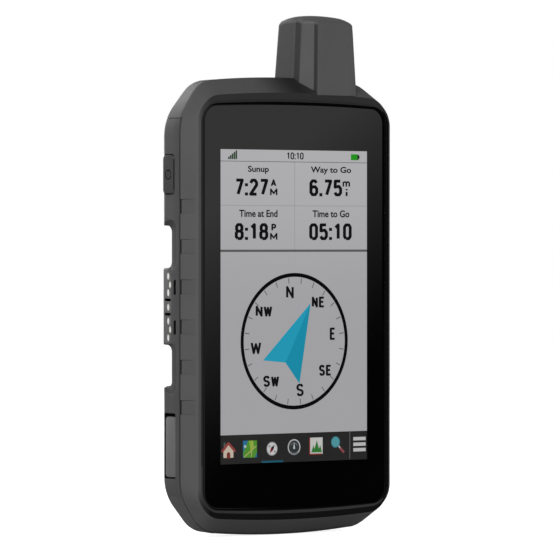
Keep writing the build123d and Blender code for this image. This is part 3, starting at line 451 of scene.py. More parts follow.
# Solid through the whole body; the lofts behind the parting line and the hollow are taken out of it
outer = [
    ring(LEDGE_Y, POCKET), ring(LIP_Y + 0.1, POCKET), ring(LIP_Y, POCKET, 0.12), ring(LIP_Y, LIP),
    ring(RIM_Y, RIM), ring(PARTING_Y, RIDGE), ring(BEVEL_Y, BEVEL), ring(BACK_Y, BACK),
    ring(BACK_Y, BACK, -6.0),
]
outer = round_rings(outer, {3: 0.2, 4: 0.4, 5: 0.8, 6: 1.0, 7: 2.0})
front = loft("front_shell", outer)
hollow_rings = [
    ring(TRAY_Y, FRONT_HOLLOW), ring(PARTING_Y - 0.5, FRONT_HOLLOW), ring(PARTING_Y - 0.5, REAR_HOLLOW),
    ring(BEVEL_Y, BEVEL_HOLLOW), ring(BACK_INNER_Y, BACK_HOLLOW),
]


def corner_loop(x, front_y, low, high, radius):
    """Outline of an opening in the (y, z) plane at x, with its two front corners rounded."""
    square = [(40.0, low), (front_y, low), (front_y, high), (40.0, high)]
    loop = [(40.0, low)] + [tuple(p) for p in corner_arc(square[0], square[1], square[2], radius, 6)]
    loop += [tuple(p) for p in corner_arc(square[1], square[2], square[3], radius, 6)] + [(40.0, high)]
    return np.array([(x, y, z) for y, z in loop])


def aerial_hole(grow, low, high):
    """Upright prism with the plan of the aerial cover's foot."""
    plan = [(9.65, -19.0), (27.7, -19.0), (27.7, 3.9), (5.3, 3.9), (5.3, -9.85), (9.65, -14.1)]
    centre = np.array((16.5, -6.0))
    loop = [centre + (np.array(p) - centre) * (1 + grow / 11.0) for p in plan]
    rings = [np.array([(p[0], p[1], z) for p in loop]) for z in (low, high)]
    return loft("hole", rings)


cutters = [
    rounded_box((-60, PARTING_Y, -10), (60, 40, SEAM_Z)),
    loft("cut", hollow_rings),
    rounded_box((-35.0, -20, 20.2), (35.0, -10, 137.3)),
    aerial_hole(0.12, AERIAL_FOOT_Z, 175.0),
    round_bar((16.5, -4.5, 154.0), 7.0, 8.0, "z"),
]
for side in (-1, 1):
    for offset in GRIP_Z:
        for end in (-1, 1):
            low = MIDDLE_Z + end * offset - GRIP_TALL / 2
            rings = [np.array([(side * 43.2, -14.5, z), (side * 45.05, -7.9, z),
                               (side * 48, -7.9, z), (side * 48, -14.5, z)])
                     for z in (low, low + GRIP_TALL)]
            cutters.append(loft("cut", rings))
groove = loft("cut", [ring(SHUT_LINE_Y, RIDGE, 4.0), ring(PARTING_Y + 0.1, RIDGE, 4.0)])
cut(groove, [loft("cut", [ring(SHUT_LINE_Y - 1.0, SHUT_LINE), ring(PARTING_Y + 1.0, SHUT_LINE)]),
             rounded_box((-60, -20, SEAM_Z), (60, 10, 200))])
cutters.append(groove)
cut(front, cutters)
shade(front)
place(front, MAT["housing"], "device", "housing", "front_housing")


def front_tone(at, normal):
    """Painted shade, near black, in the shut line and round the glass's seat, dark on the ends of the
    grip recesses, and a painted shadow beside the aerial. The rim and lip are a darker finish with
    painted shade on it, heavier at the rim's right and ends, most at its foot, and black on the lip at
    its right.
    """
    inward = normal.x * at.x + normal.z * (at.z - MIDDLE_Z) < 0
    # Painted shade inside the shut line groove
    if SHUT_LINE_Y - 0.02 < at.y < PARTING_Y + 0.05 and at.z < SEAM_Z and abs(at.x) < 46:
        inside = abs(normal.y) > 0.99 or at.y > SHUT_LINE_Y + 0.3
        return 0.95 if inside else 0.0
    # Painted shade on the top and bottom faces of the grip recesses
    if abs(normal.z) > 0.95 and abs(at.x) > 42.0 and abs(at.z - MIDDLE_Z) < 40.0:
        return 0.85
    if at.y > RIM_Y + 0.1:
        # Painted shade on the glass's seat behind the rim
        if at.y < -14.9 and (inward or abs(normal.y) > 0.97):
            return 0.95
        # Painted shadow on the top slope beside the aerial
        near = max(0.0, 1 - abs(at.x - 3.0) / 20.0) if at.z > 148.0 and at.y < 4.0 else 0.0
        return 0.75 * near * near * (3 - 2 * near)
    # Painted shade on the inward walls of the glass pocket
    if inward:
        return 0.93
    # Lip: darker finish and painted shade, black at its right
    if at.y < LIP_Y + 0.06:
        if at.x > 39.0:
            return 0.97
        return 0.72 if at.z > 25.0 else 0.55
    # Rim: darker finish, with painted shade at its right and more at its ends, most at its foot
    side = 0.27 if at.x < 0 else 0.5
    end = 0.66 if normal.z > 0 else 0.92
    return side + (end - side) * min(1.0, 1.6 * abs(normal.z) / (abs(normal.x) + abs(normal.z) + 1e-6))


darken(front, front_tone)

rear_rings = [
    ring(PARTING_Y, REAR, -1.2), ring(PARTING_Y, REAR), ring(-5.4, REAR, -0.14), ring(BEVEL_Y, BEVEL),
    ring(BACK_Y, BACK), ring(BACK_Y, BACK, -6.0),
]
rear = loft("rear_shell", round_rings(rear_rings, {1: 0.15, 2: 0.3, 3: 1.0, 4: 2.0}))
inner = loft("cut", hollow_rings)
blocks = [
    rounded_box((-30.2, -2.0, 0.0), (30.2, 20.0, 113.6)),
    rounded_box((-60.0, -20.0, 49.5), (-36.8, 20.0, 110.5)),
    rounded_box((36.8, -20.0, 49.5), (60.0, 20.0, 110.5)),
    rounded_box((-38.0, -0.5, 49.5), (-30.0, 20.0, 110.5)),
    rounded_box((30.0, -0.5, 49.5), (38.0, 20.0, 110.5)),
    rounded_box((-60.0, -20.0, 18.0), (-40.7, 3.0, 45.0)),
    rounded_box((40.7, -20.0, 114.5), (60.0, 3.0, 135.5)),
]
blocks += [round_bar((x, 0.0, z), 3.6, 40.0) for x, z in SCREWS]
cut(inner, blocks)
cutters = [inner, rounded_box((-60, -30, SEAM_Z - 0.18), (60, 40, 200))]
for x, z in SCREWS:
    cutters += [round_bar((x, 0.0, z), 1.35, 20.0), round_bar((x, 11.5, z), 2.6, 20.0)]
for side in (-1, 1):
    for end in (-1, 1):
        low = MIDDLE_Z + end * NOTCH_Z - NOTCH_TALL / 2
        high = low + NOTCH_TALL
        plan = ((52.0, NOTCH_Y), (40.5, NOTCH_Y), (37.6, 4.0), (28.2, 17.5), (52.0, 22.0))
        notch = loft("cut", [np.array([(side * x, y, z) for x, y in plan]) for z in (low, high)])
        x0, x1 = (20.0, 60.0) if side > 0 else (-60.0, -20.0)
        cut(notch, [rounded_box((x0, NOTCH_Y, low), (x1, 40.0, high), NOTCH_RADIUS, "x", 6)],
            "INTERSECT")
        cutters.append(notch)
        # Bevel round the mouth of the notch, widest in front of it
        mouth = []
        for x, ahead, out, inward in ((46.5, 8.1, 4.6, 1.6), (44.0, 0.0, 0.0, 0.0)):
            far, near = (low - out, high + inward) if end < 0 else (low - inward, high + out)
            mouth.append(corner_loop(side * x, NOTCH_Y - ahead, far, near, NOTCH_RADIUS + ahead * 0.3))
        cutters.append(loft("cut", mouth))
cutters += [
    rounded_box((-25.3, -0.4, 49.0), (25.3, 20.0, 107.0)),
    rounded_box((-27.8, 12.9, 12.6), (27.8, 30.0, 112.0), 10.0, "y", 10),
    round_bar((0.0, 11.4, 30.0), 16.8, 10.0, steps=72),
    rounded_box((-8.05, -2.5, 106.0), (8.05, 9.05, 110.65)),
    rounded_box((-50.0, -5.8, 118.7), (-39.0, 1.2, 132.65), 1.5, "x"),
    rounded_box((-50.0, -3.55, 66.7), (-40.0, 20.0, 93.3)),
    rounded_box((-42.0, -3.0, 67.9), (-36.0, 2.1, 91.8)),
    rounded_box((-46.0, -6.65, 84.2), (-43.6, -5.2, 89.2)),
    rounded_box((-46.0, -6.65, 70.4), (-43.6, -5.2, 75.3)),
    rounded_box((-50.0, -6.3, 20.55), (-42.9, 1.0, 43.2), 0.5, "x"),
    rounded_box((-43.0, -4.35, 27.3), (-37.0, -0.95, 36.7), 1.2, "x"),
    rounded_box((42.9, -6.3, 117.05), (50.0, 1.0, 133.7), 0.5, "x"),
    round_bar((40.0, -2.65, 125.5), 2.4, 10.0, "x"),
]
for row in (-2, -1, 0, 1, 2):
    z = SLOT_MIDDLE_Z + row * SLOT_PITCH
    cutters.append(rounded_box((-6.5, 13.0, z - 0.7), (6.5, 20.0, z + 0.7), 0.69, "y"))
cut(rear, cutters)
shade(rear)
place(rear, MAT["housing"], "device", "housing", "rear_housing")


def rear_tone(at, normal):
    """Painted shade: black in the slots beside the contact block, darker on the bevels round the cradle
    notches and in the contact block's recess, most on faces turned back, up or down, near black on the
    walls of the cap and key pockets, and a little darker on the sides in front of the back bevel.
    """
    # Painted shade in the slots beside the contact block
    if at.x < -43.5 and -6.75 < at.y < -5.1 and (84.1 < at.z < 89.3 or 70.3 < at.z < 75.4):
        if at.x > -44.85 or abs(normal.x) < 0.5:
            return 0.9
    # Painted shade round the cradle notches and in the contact block's recess
    if abs(at.x) > 43.9 and -6.0 < at.y < 5.0 and 50.0 < at.z < 110.0:
        return 0.52 if normal.y > 0.12 or abs(normal.z) > 0.2 else 0.2
    # Painted shade on the walls of the cap and key pockets
    on_cap = -6.4 < at.y < 1.1 and (20.4 < at.z < 43.4 if at.x < 0 else 116.9 < at.z < 133.9)
    on_key = at.x < 0 and -5.9 < at.y < 1.3 and 118.6 < at.z < 132.8
    if 42.8 < abs(at.x) < 45.4 and (on_cap or on_key) and (abs(normal.x) < 0.5 or abs(at.x) < 43.0):
        return 0.92
    # Sides in front of the back bevel a little darker: painted shade
    if abs(at.x) > 43.9 and at.y < 1.5:
        return 0.18
    return 0.0


darken(rear, rear_tone)

# ------------------------------------------------------------------ cradle contact block

# Height and depth of each pad
PADS = ((90.5, -0.05), (87.6, -1.8), (84.8, -0.05), (79.8, -0.05), (75.0, -0.05), (72.1, -1.8),
        (69.2, -0.05))
plan = ((-44.7, -3.5), (-44.78, -3.1), (-42.35, 4.5), (-40.0, 5.6), (-40.0, -3.5))
levels = ((66.72, 0.35), (67.1, 0.0), (92.9, 0.0), (93.28, 0.35))
block = loft("contact_block_body", [np.array([(min(x + inset, -40.0), y, z) for x, y in plan])
                                    for z, inset in levels])
cut(block, [round_bar((-42.0, y, z), 1.22, 8.0, "x", 24) for z, y in PADS] +
    [rounded_box((-46.0, -2.7, z - 0.5), (-41.0, 3.0, z + 0.5), 0.12, "x") for z in (82.3, 77.3)])
shade(block)
place(block, MAT["dark_plastic"], "device", "dark_plastic", "contact_block")


def block_tone(at, normal):
    """Painted shade, near black, inside the two short bars and on the floors round the pads."""
    in_bar = 76.7 < at.z < 77.9 or 81.7 < at.z < 82.9
    in_bar = in_bar and at.x > -44.4 and abs(normal.z) + abs(normal.y) > 0.5
    return 0.93 if in_bar or abs(at.x + 41.0) < 0.05 else 0.0


darken(block, block_tone)

# ------------------------------------------------------------------ power key

KEY_MARK = (-45.4, -2.3, 125.6)
key_rings = []
for x, inset, radius in ((-42.1, 0.0, 1.2), (-45.1, 0.0, 1.2), (-45.3, 0.08, 1.2), (-45.42, 0.22, 1.1),
                         (-45.46, 0.45, 1.0)):
    loop = rounded_loop(-5.45 + inset, 119.05 + inset, 0.85 - inset, 132.3 - inset, radius, 6)
    key_rings.append(np.array([(x, y, z) for y, z in loop]))
key = loft("power_key_cap", key_rings)
cut(key, [rounded_box((-42.15, -6.6, 117.3), (-41.4, 0.7, 133.5), 1.0, "x"),
          rounded_box((-41.5, -3.5, 124.2), (-40.9, -1.1, 126.6), 0.4, "x")], "UNION")
groove = [round_bar(KEY_MARK, 1.8, 0.4, "x")]
cut(groove[0], [round_bar(KEY_MARK, 1.35, 0.8, "x")])
groove.append(rounded_box((-45.6, -2.5, 124.85), (-45.2, -2.1, 126.35), 0.15, "x"))
cut(key, groove)
shade(key)
place(key, MAT["key_plastic"], "power_key", "key_plastic", "power_key")
# The engraved power mark darkened: painted shade in its groove
darken(key, lambda at, normal: 0.8 if -45.4 < at.x < -45.1 and 123.7 < at.z < 127.5 else 0.0)

# ------------------------------------------------------------------ side port caps

def port_cap(name, side, low, high, body, node):
    """Rubber cap in its pocket, rounded at the corners and softened round its face, with its plug."""
    rings = []
    for x, inset, radius in ((42.95, 0.05, 1.1), (44.55, 0.05, 1.1), (44.8, 0.12, 1.1),
                             (44.95, 0.35, 1.0)):
        flat = rounded_loop(-5.9 + inset, low + inset, 0.6 - inset, high - inset, radius, 6)
        lean = 0.0 if x < 43 else 0.063
        rings.append(np.array([(side * (x - lean * (y + 5.9)), y, z) for y, z in flat]))
    cap = loft(name, rings)
    if side < 0:
        plug = rounded_box((-43.05, -3.7, 28.4), (-41.6, -1.6, 35.6), 0.9, "x")
    else:
        plug = round_bar((42.3, -2.65, 125.5), 1.5, 1.5, "x")
    cut(cap, [plug], "UNION")
    # Thinned at the lower end, where it bends
    cut(cap, [loft("cut", [np.array([(side * 42.8, y, low - 0.1), (side * 44.15, y, low - 0.1),
                                     (side * 42.8, y, low + 1.25)]) for y in (-8.0, 2.0)])])
    shade(cap)
    place(cap, MAT["rubber_cap"], body, "rubber_cap", node)


port_cap("usb_cap_cover", -1, 21.0, 42.0, "usb_cap", "usb_cap")
port_cap("socket_cap_cover", 1, 117.5, 132.5, "socket_cap", "antenna_socket_cap")

# ------------------------------------------------------------------ aerial cover

# Corners of the plan at its foot and head, each with its radius
FOOT = [((9.65, -15.7), 0.25), ((27.75, -15.7), 0.7), ((27.75, 3.9), 2.0), ((5.1, 3.9), 1.0),
        ((5.1, -5.9), 0.8), ((6.0, -6.7), 0.6), ((6.0, -9.3), 0.5), ((5.75, -10.0), 0.3),
        ((9.65, -13.95), 0.3)]
HEAD = [((10.2, -15.5), 0.25), ((25.7, -15.5), 0.7), ((25.7, 2.5), 2.0), ((6.9, 2.5), 1.0),
        ((6.9, -5.9), 0.8), ((7.7, -6.7), 0.6), ((7.7, -9.3), 0.5), ((7.5, -10.1), 0.3),
        ((10.2, -13.75), 0.3)]


def plan_loop(corners):
    """Rounded plan outline with straight runs split up, the same count for foot and head."""
    loop = []
    count = len(corners)
    arcs = [corner_arc(corners[i - 1][0], corners[i][0], corners[(i + 1) % count][0], corners[i][1], 5)
            for i in range(count)]
    for i, arc in enumerate(arcs):
        loop += arc
        nxt = arcs[(i + 1) % count][0]
        loop += [arc[-1] + (nxt - arc[-1]) * k / 6 for k in range(1, 6)]
    return np.array(loop)


def roof(x, y):
    """Height of the aerial's crowned top, falling away fastest at its left edge."""
    top = 182.2 - 0.01 * (x - 16.6) ** 2 - 0.0206 * (y + 4.05) ** 2
    return top + 0.004 * max(0.0, x - 16.6) ** 2 - 0.06 * max(0.0, 10.5 - x) ** 2


def aerial_cover():
    """Tapered cover lofted upright, with a rounded edge and a crowned roof closing to a point."""
    foot, head = plan_loop(FOOT), plan_loop(HEAD)
    head_z, shoulder_z, rise = 184.5, 179.0, 3.0
    centre, reach, turns = np.array((15.8, -5.6)), 0.9, 6

    def at(z):
        return foot + (head - foot) * (z - AERIAL_FOOT_Z) / (head_z - AERIAL_FOOT_Z)

    def heights(points):
        return np.array([roof(*p) for p in points])

    rings = []
    for step in range(8):
        z = AERIAL_FOOT_Z + step * rise
        rings.append(np.column_stack((at(z), np.full(len(foot), z))))
    top = at(shoulder_z)
    edge_z = heights(top)
    inward = (centre - top) / np.linalg.norm(centre - top, axis=1)[:, None]
    for k in range(turns):
        a = math.pi / 2 * k / turns
        xy = top + inward * reach * (1 - math.cos(a))
        rings.append(np.column_stack((xy, edge_z - reach * (1 - math.sin(a))
                                      + (heights(xy) - edge_z) * (k / turns) ** 2)))
    start = top + inward * reach
    for k in range(9):
        xy = start + (centre - start) * (k / 9)
        rings.append(np.column_stack((xy, heights(xy))))
    return loft("aerial_cover", rings)


aerial = aerial_cover()
cut(aerial, [round_bar((16.5, -4.5, 164.0), 7.0, 24.0, "z")])
shade(aerial, 40)
place(aerial, MAT["aerial"], "device", "housing", "antenna_cap")


def aerial_tone(at, normal):
    """Painted shade on the faces turned left: darkest in the flutes on both sides of the angled corner
    face, less on that face and the rest.
    """
    if at.z > 178.6 or at.z < 153.0 or normal.x > -0.05:
        return 0.0
    if -9.9 < at.y < -5.9 and at.x < 9.0:
        return 0.44
    if at.y < -13.6 and at.x < 11.0:
        return 0.52
    return 0.3 if at.y < -9.0 and at.x < 11.0 else 0.24


darken(aerial, aerial_tone)

# ------------------------------------------------------------------ printed border behind the glass

def glass_plate(name, inset, end_inset, depths):
    """Thin plate with the outline of the cover glass, set in by margins at its sides and ends."""
    side, end, crown, corner = 40.2 - inset, 69.35 - end_inset, 1.05, 6.0 - inset
    big = (side ** 2 + crown ** 2) / (2 * crown)
    tangent = np.array((-(big - crown), side)) / big
    arc = corner_arc((side, 0), (side, end), np.array((side, end)) + tangent * 9, corner, 10)
    start = math.atan2(arc[-1][1] - end - crown + big, arc[-1][0])
    arc += [np.array((big * math.cos(a), end + crown - big + big * math.sin(a)))
            for a in np.linspace(start, math.pi / 2, 12)[1:]]
    quarter = np.array(arc)
    upper = np.vstack((quarter, quarter[::-1][1:] * (-1, 1)))
    loop = np.vstack((upper, upper[::-1] * (1, -1)))
    return loft(name, [np.column_stack((loop[:, 0], np.full(len(loop), y), loop[:, 1] + MIDDLE_Z))
                       for y in depths])


# Black printed border, glowing with the glass's painted reflection
border = glass_plate("ink_border", 0.0, 0.0, (-15.385, -15.3))
cut(border, [rounded_box((-32.65, -20.0, 25.55), (32.65, -10.0, 134.45))])
place(border, MAT["ink"], "device", "ink", "ink_mask")
# Black ring at the border's outer edge, keeping the painted reflection off it
edge_line = glass_plate("ink_edge_line", 0.0, 0.0, (-15.42, -15.39))
cut(edge_line, [glass_plate("cut", 0.75, 0.3, (-16.0, -15.0))])
place(edge_line, MAT["edge_ink"], "device", "ink")

# The black line round the glass glows grey at its left: painted reflection
g = Graph(MAT["edge_ink"], clear=False)
g.glow(g.ramp(g.axes(g.place()).outputs["X"], -38 * MM, -5 * MM, 0.012, 0.0))

# Painted reflection of the glass, glowing grey in the printed border: strongest at its upper left, gone
# at its foot
g = Graph(MAT["ink"], clear=False)
level = g.axes(g.place())
tilt = g.maths("MULTIPLY_ADD", level.outputs["X"], -0.62, level.outputs["Z"])
g.glow(g.maths("MULTIPLY", g.maths("POWER", g.ramp(tilt, 35 * MM, 135 * MM), 1.8), INK_PAINTED_REFLECTION))

# ------------------------------------------------------------------ screen

SCREEN_LAYERS = (-15.2, -15.245, -15.285, -15.325)
PRINT_THICK = 0.03


def flat_piece(name, shapes, layer, colour, strength=0.82, fade=0.0, thick=PRINT_THICK):
    """Thin printed shapes on the display, each a list of (x, z) corners from the screen's middle."""
    front_y = SCREEN_LAYERS[layer] - thick
    verts, faces = [], []
    for shape in shapes:
        n, base = len(shape), len(verts)
        verts += [(x, front_y, MIDDLE_Z + z) for x, z in shape]
        verts += [(x, front_y + thick, MIDDLE_Z + z) for x, z in shape]
        faces.append(tuple(base + i for i in range(n)))
        faces.append(tuple(base + n + i for i in range(n))[::-1])
        for i in range(n):
            j = (i + 1) % n
            faces.append((base + j, base + i, base + n + i, base + n + j))
    obj = new_object(name, verts, faces)
    outward(obj)
    place(obj, glowing(name + "_light", colour, strength, fade), "device", "display")


def rect(x0, z0, x1, z1):
    return [(x0, z0), (x1, z0), (x1, z1), (x0, z1)]


def disc(cx, cz, radius, steps=32, start=0.0, turn=360.0):
    """Round or part-round shape."""
    return [(cx + radius * math.cos(math.radians(start + turn * i / steps)),
             cz + radius * math.sin(math.radians(start + turn * i / steps)))
            for i in range(steps if turn >= 360 else steps + 1)]


def band(cx, cz, r0, r1, steps=96, start=0.0, turn=360.0):
    """Ring or arc as short four-sided pieces."""
    out = []
    for i in range(steps):
        a = math.radians(start + turn * i / steps)
        b = math.radians(start + turn * (i + 1) / steps)
        out.append([(cx + r * math.cos(t), cz + r * math.sin(t))
                    for r, t in ((r0, a), (r1, a), (r1, b), (r0, b))])
    return out


def stroke(x0, z0, x1, z1, width):
    """Straight line of a given width."""
    a, b = np.array((x0, z0)), np.array((x1, z1))
    d = (b - a) / np.linalg.norm(b - a) * width / 2
    side = np.array((-d[1], d[0]))
    return [tuple(a + side), tuple(a - side), tuple(b - side), tuple(b + side)]


def lettering(name, words, layer, colour, strength=1.0):
    """Text on the display. Words are (text, left, right, foot, top, weight) in millimetres."""
    front_y = SCREEN_LAYERS[layer] - PRINT_THICK
    bm = bmesh.new()
    for text, x0, x1, z0, z1, weight in words:
        curve = bpy.data.curves.new("word", "FONT")
        curve.body = text
        curve.offset = weight
        curve.resolution_u = 4
        curve.extrude = 0.01
        holder = bpy.data.objects.new("word", curve)
        bpy.context.scene.collection.objects.link(holder)
        depsgraph = bpy.context.evaluated_depsgraph_get()
        mesh = bpy.data.meshes.new_from_object(holder.evaluated_get(depsgraph))
        points = np.array([v.co[:] for v in mesh.vertices])
        low, high = points.min(axis=0), points.max(axis=0)
        for v in mesh.vertices:
            x = x0 + (v.co.x - low[0]) / (high[0] - low[0]) * (x1 - x0)
            z = z0 + (v.co.y - low[1]) / (high[1] - low[1]) * (z1 - z0)
            y = front_y + (PRINT_THICK if v.co.z < 0 else 0.0)
            v.co = (x * MM, y * MM, (MIDDLE_Z + z) * MM)
        bm.from_mesh(mesh)
        bpy.data.objects.remove(holder)
        bpy.data.curves.remove(curve)
        bpy.data.meshes.remove(mesh)
    bmesh.ops.remove_doubles(bm, verts=bm.verts, dist=0.5e-6)
    bmesh.ops.recalc_face_normals(bm, faces=bm.faces)
    mesh = bpy.data.meshes.new(name)
    bm.to_mesh(mesh)
    bm.free()
    obj = bpy.data.objects.new(name, mesh)
    bpy.context.scene.collection.objects.link(obj)
    place(obj, glowing(name + "_light", colour, strength), "device", "display")


INK = (0.012, 0.012, 0.013)
WIDE, TALL, BAR_Z = 32.6, 54.4, -44.4  # half width and height of the screen, top of the toolbar
flat_piece("screen_field", [rect(-WIDE, BAR_Z, WIDE, TALL)], 0, (0.985, 0.975, 1.0), 0.43, 0.16)
flat_piece("screen_toolbar", [rect(-WIDE, -TALL, WIDE, BAR_Z)], 0, (1.0, 0.97, 0.95), 0.012)
flat_piece("screen_rules", [rect(-WIDE, 50.2, WIDE, 50.4), rect(-WIDE, 18.9, WIDE, 19.7)], 1,
           (0.1, 0.1, 0.1), 1.0)
flat_piece("screen_faint_rules", [rect(-WIDE, 34.85, WIDE, 35.15), rect(-0.15, 19.7, 0.15, 50.2)], 1,
           (0.33, 0.335, 0.34), 1.0)

# Condensed figures drawn as strokes: corner points on a grid one wide and one high
STROKES = {
    "0": [[(0.25, 0), (0.75, 0), (1, 0.16), (1, 0.84), (0.75, 1), (0.25, 1), (0, 0.84), (0, 0.16),
           (0.25, 0)]],
    "1": [[(0.15, 0.8), (0.62, 1), (0.62, 0)]],
    "2": [[(0, 0.8), (0.25, 1), (0.75, 1), (1, 0.83), (1, 0.66), (0, 0), (1, 0)]],
    "5": [[(0.95, 1), (0.08, 1), (0.05, 0.56), (0.7, 0.62), (1, 0.45), (1, 0.16), (0.75, 0),
           (0.25, 0), (0, 0.17)]],
    "6": [[(0.95, 0.85), (0.72, 1), (0.25, 1), (0, 0.84), (0, 0.16), (0.25, 0), (0.75, 0), (1, 0.16),
           (1, 0.42), (0.75, 0.57), (0.25, 0.57), (0, 0.42)]],
    "7": [[(0, 1), (1, 1), (0.3, 0)]],
    "8": [[(0.25, 0), (0.75, 0), (1, 0.14), (1, 0.4), (0.78, 0.53), (0.94, 0.66), (0.94, 0.87),
           (0.72, 1), (0.28, 1), (0.06, 0.87), (0.06, 0.66), (0.22, 0.53), (0, 0.4), (0, 0.14),
           (0.25, 0)], [(0.22, 0.53), (0.78, 0.53)]],
    ":": [[(0.5, -0.1), (0.5, 0.12)], [(0.5, 0.56), (0.5, 0.78)]],
    ".": [[(0.5, -0.12), (0.5, 0.12)]],
    "A": [[(0, 0), (0.5, 1), (1, 0)], [(0.2, 0.32), (0.8, 0.32)]],
    "E": [[(1, 1), (0, 1), (0, 0), (1, 0)], [(0, 0.52), (0.85, 0.52)]],
    "M": [[(0, 0), (0, 1), (0.5, 0.3), (1, 1), (1, 0)]],
    "N": [[(0, 0), (0, 1), (1, 0), (1, 1)]],
    "P": [[(0, 0), (0, 1), (0.75, 1), (1, 0.86), (1, 0.62), (0.75, 0.47), (0, 0.47)]],
    "S": [[(1, 0.82), (0.75, 1), (0.25, 1), (0, 0.85), (0, 0.66), (0.22, 0.54), (0.78, 0.46), (1, 0.34),
           (1, 0.15), (0.75, 0), (0.25, 0), (0, 0.18)]],
    "W": [[(0, 1), (0.24, 0), (0.5, 0.86), (0.76, 0), (1, 1)]],
    "m": [[(0, 0), (0, 1)], [(0, 0.75), (0.2, 1), (0.45, 0.9), (0.5, 0.7), (0.5, 0)],
          [(0.5, 0.75), (0.7, 1), (0.95, 0.9), (1, 0.7), (1, 0)]],
    "i": [[(0.5, -0.1), (0.5, 0.62)], [(0.5, 0.88), (0.5, 1.12)]],
}
UPRIGHT = 1.25  # how much wider upright strokes come out than level ones
BROAD = 1.35  # width of W and M against the other letters


def figures(text, left, z0, wide, tall, gap, width):
    """Shapes of one word: strokes of a given width, letters of a given size from a left foot corner."""
    shapes = []
    x0, wide, gap = 0.0, wide / UPRIGHT, gap / UPRIGHT
    for sign in text:
        span = 0.0 if sign in ":.i" else wide * (BROAD if sign in "WM" else 1.0)
        for line in STROKES[sign]:
            spots = [(x0 + px * span + width / 2, z0 + width / 2 + pz * (tall - width))
                     for px, pz in line]
            shapes += [stroke(*a, *b, width) for a, b in zip(spots, spots[1:])]
            shapes += [disc(*spot, width / 2, 12) for spot in spots[1:-1]]
        x0 += span + width + gap
    return [[(left + x * UPRIGHT, z) for x, z in shape] for shape in shapes]


figure_shapes = []
for text, x0, z0, wide, tall, gap, width in (
        ("7:27", -26.4, 38.4, 2.6, 5.9, 0.5, 1.08), ("6.75", 6.6, 38.4, 2.6, 5.9, 0.5, 1.08),
        ("8:18", -26.4, 23.0, 2.6, 5.9, 0.5, 1.08), ("05:10", 6.5, 23.0, 2.6, 5.9, 0.5, 1.08),
        ("A", -10.6, 41.6, 1.8, 2.6, 0, 0.55), ("M", -10.9, 38.4, 1.9, 2.6, 0, 0.55),
        ("P", -10.3, 26.1, 1.35, 2.6, 0, 0.58), ("M", -10.9, 22.9, 1.9, 2.6, 0, 0.55),
        ("10:10", -3.6, 51.2, 1.1, 2.4, 0.2, 0.38), ("m", 21.5, 41.6, 2.7, 2.2, 0, 0.55),
        ("i", 22.9, 38.4, 0.5, 2.7, 0, 0.7)):
    figure_shapes += figures(text, x0, z0, wide, tall, gap, width)

RING_Z = -12.3
LETTER_RADIUS = 17.25
for text, angle, wide in (("N", 97, 3.4), ("NE", 52, 5.9), ("E", 8, 2.7), ("SE", -37, 5.7),
                          ("S", -82, 3.2), ("SW", -127, 7.0), ("W", 187, 4.7), ("NW", 142, 7.3)):
    tall = 4.35 if len(text) == 1 else 3.85
    width, gap = 0.78, 0.45
    letter = wide - width * UPRIGHT
    if text == "W":
        letter /= BROAD
    elif len(text) == 2:
        letter = (wide - 2 * width * UPRIGHT - gap) / (1.0 + BROAD if "W" in text else 2.0)
    figure_shapes += figures(text, LETTER_RADIUS * math.cos(math.radians(angle)) - wide / 2,
                             RING_Z + LETTER_RADIUS * math.sin(math.radians(angle)) - tall / 2,
                             letter, tall, gap, width)
flat_piece("screen_figures", figure_shapes, 1, (0.008, 0.008, 0.009))

lettering("screen_labels", [
    ("Sunup", -20.6, -11.4, 46.0, 48.8, 0.026), ("Way to Go", 7.2, 25.4, 46.0, 48.8, 0.026),
    ("Time at End", -24.4, -7.6, 31.0, 33.5, 0.026), ("Time to Go", 8.0, 24.6, 31.0, 33.5, 0.026),
], 1, INK)

flat_piece("compass_ring", band(0, RING_Z, 22.5, 23.85), 1, (0.004, 0.004, 0.004))
ticks = []
for i in range(24):
    angle = math.radians(7 + i * 15)
    ticks.append(stroke(20.2 * math.cos(angle), RING_Z + 20.2 * math.sin(angle),
                        22.2 * math.cos(angle), RING_Z + 22.2 * math.sin(angle), 0.3))
flat_piece("compass_ticks", ticks, 0, (0.09, 0.09, 0.09), 1.0, 0.0, 0.04)
tip, left, notch, right = (7.1, 13.2), (-14.0, -6.5), (-4.1, -7.4), (2.1, -14.8)
flat_piece("compass_needle_light", [[(p[0], p[1] + RING_Z) for p in (tip, left, notch)]], 2,
           (0.018, 0.305, 0.445), 1.0)
flat_piece("compass_needle_dark", [[(p[0], p[1] + RING_Z) for p in (tip, notch, right)]], 2,
           (0.012, 0.25, 0.37), 1.0)
flat_piece("status_marks", [
    rect(-29.3 + 0.82 * i, 51.0, -28.65 + 0.82 * i, 51.8 + 0.55 * i) for i in range(5)], 1,
    (0.03, 0.06, 0.03), 1.0)
flat_piece("status_charge", [rect(25.3, 51.2, 28.2, 53.3)], 1, (0.02, 0.28, 0.015), 1.0)
flat_piece("status_charge_end", [rect(28.2, 51.3, 28.8, 53.2), rect(28.8, 51.8, 29.2, 52.8)], 1,
           (0.02, 0.03, 0.02), 1.0)

HOME_X, DIAL, GAUGE, LENS = -29.15, (-10.0, -49.6), (-0.25, -49.3), (18.3, -48.0)

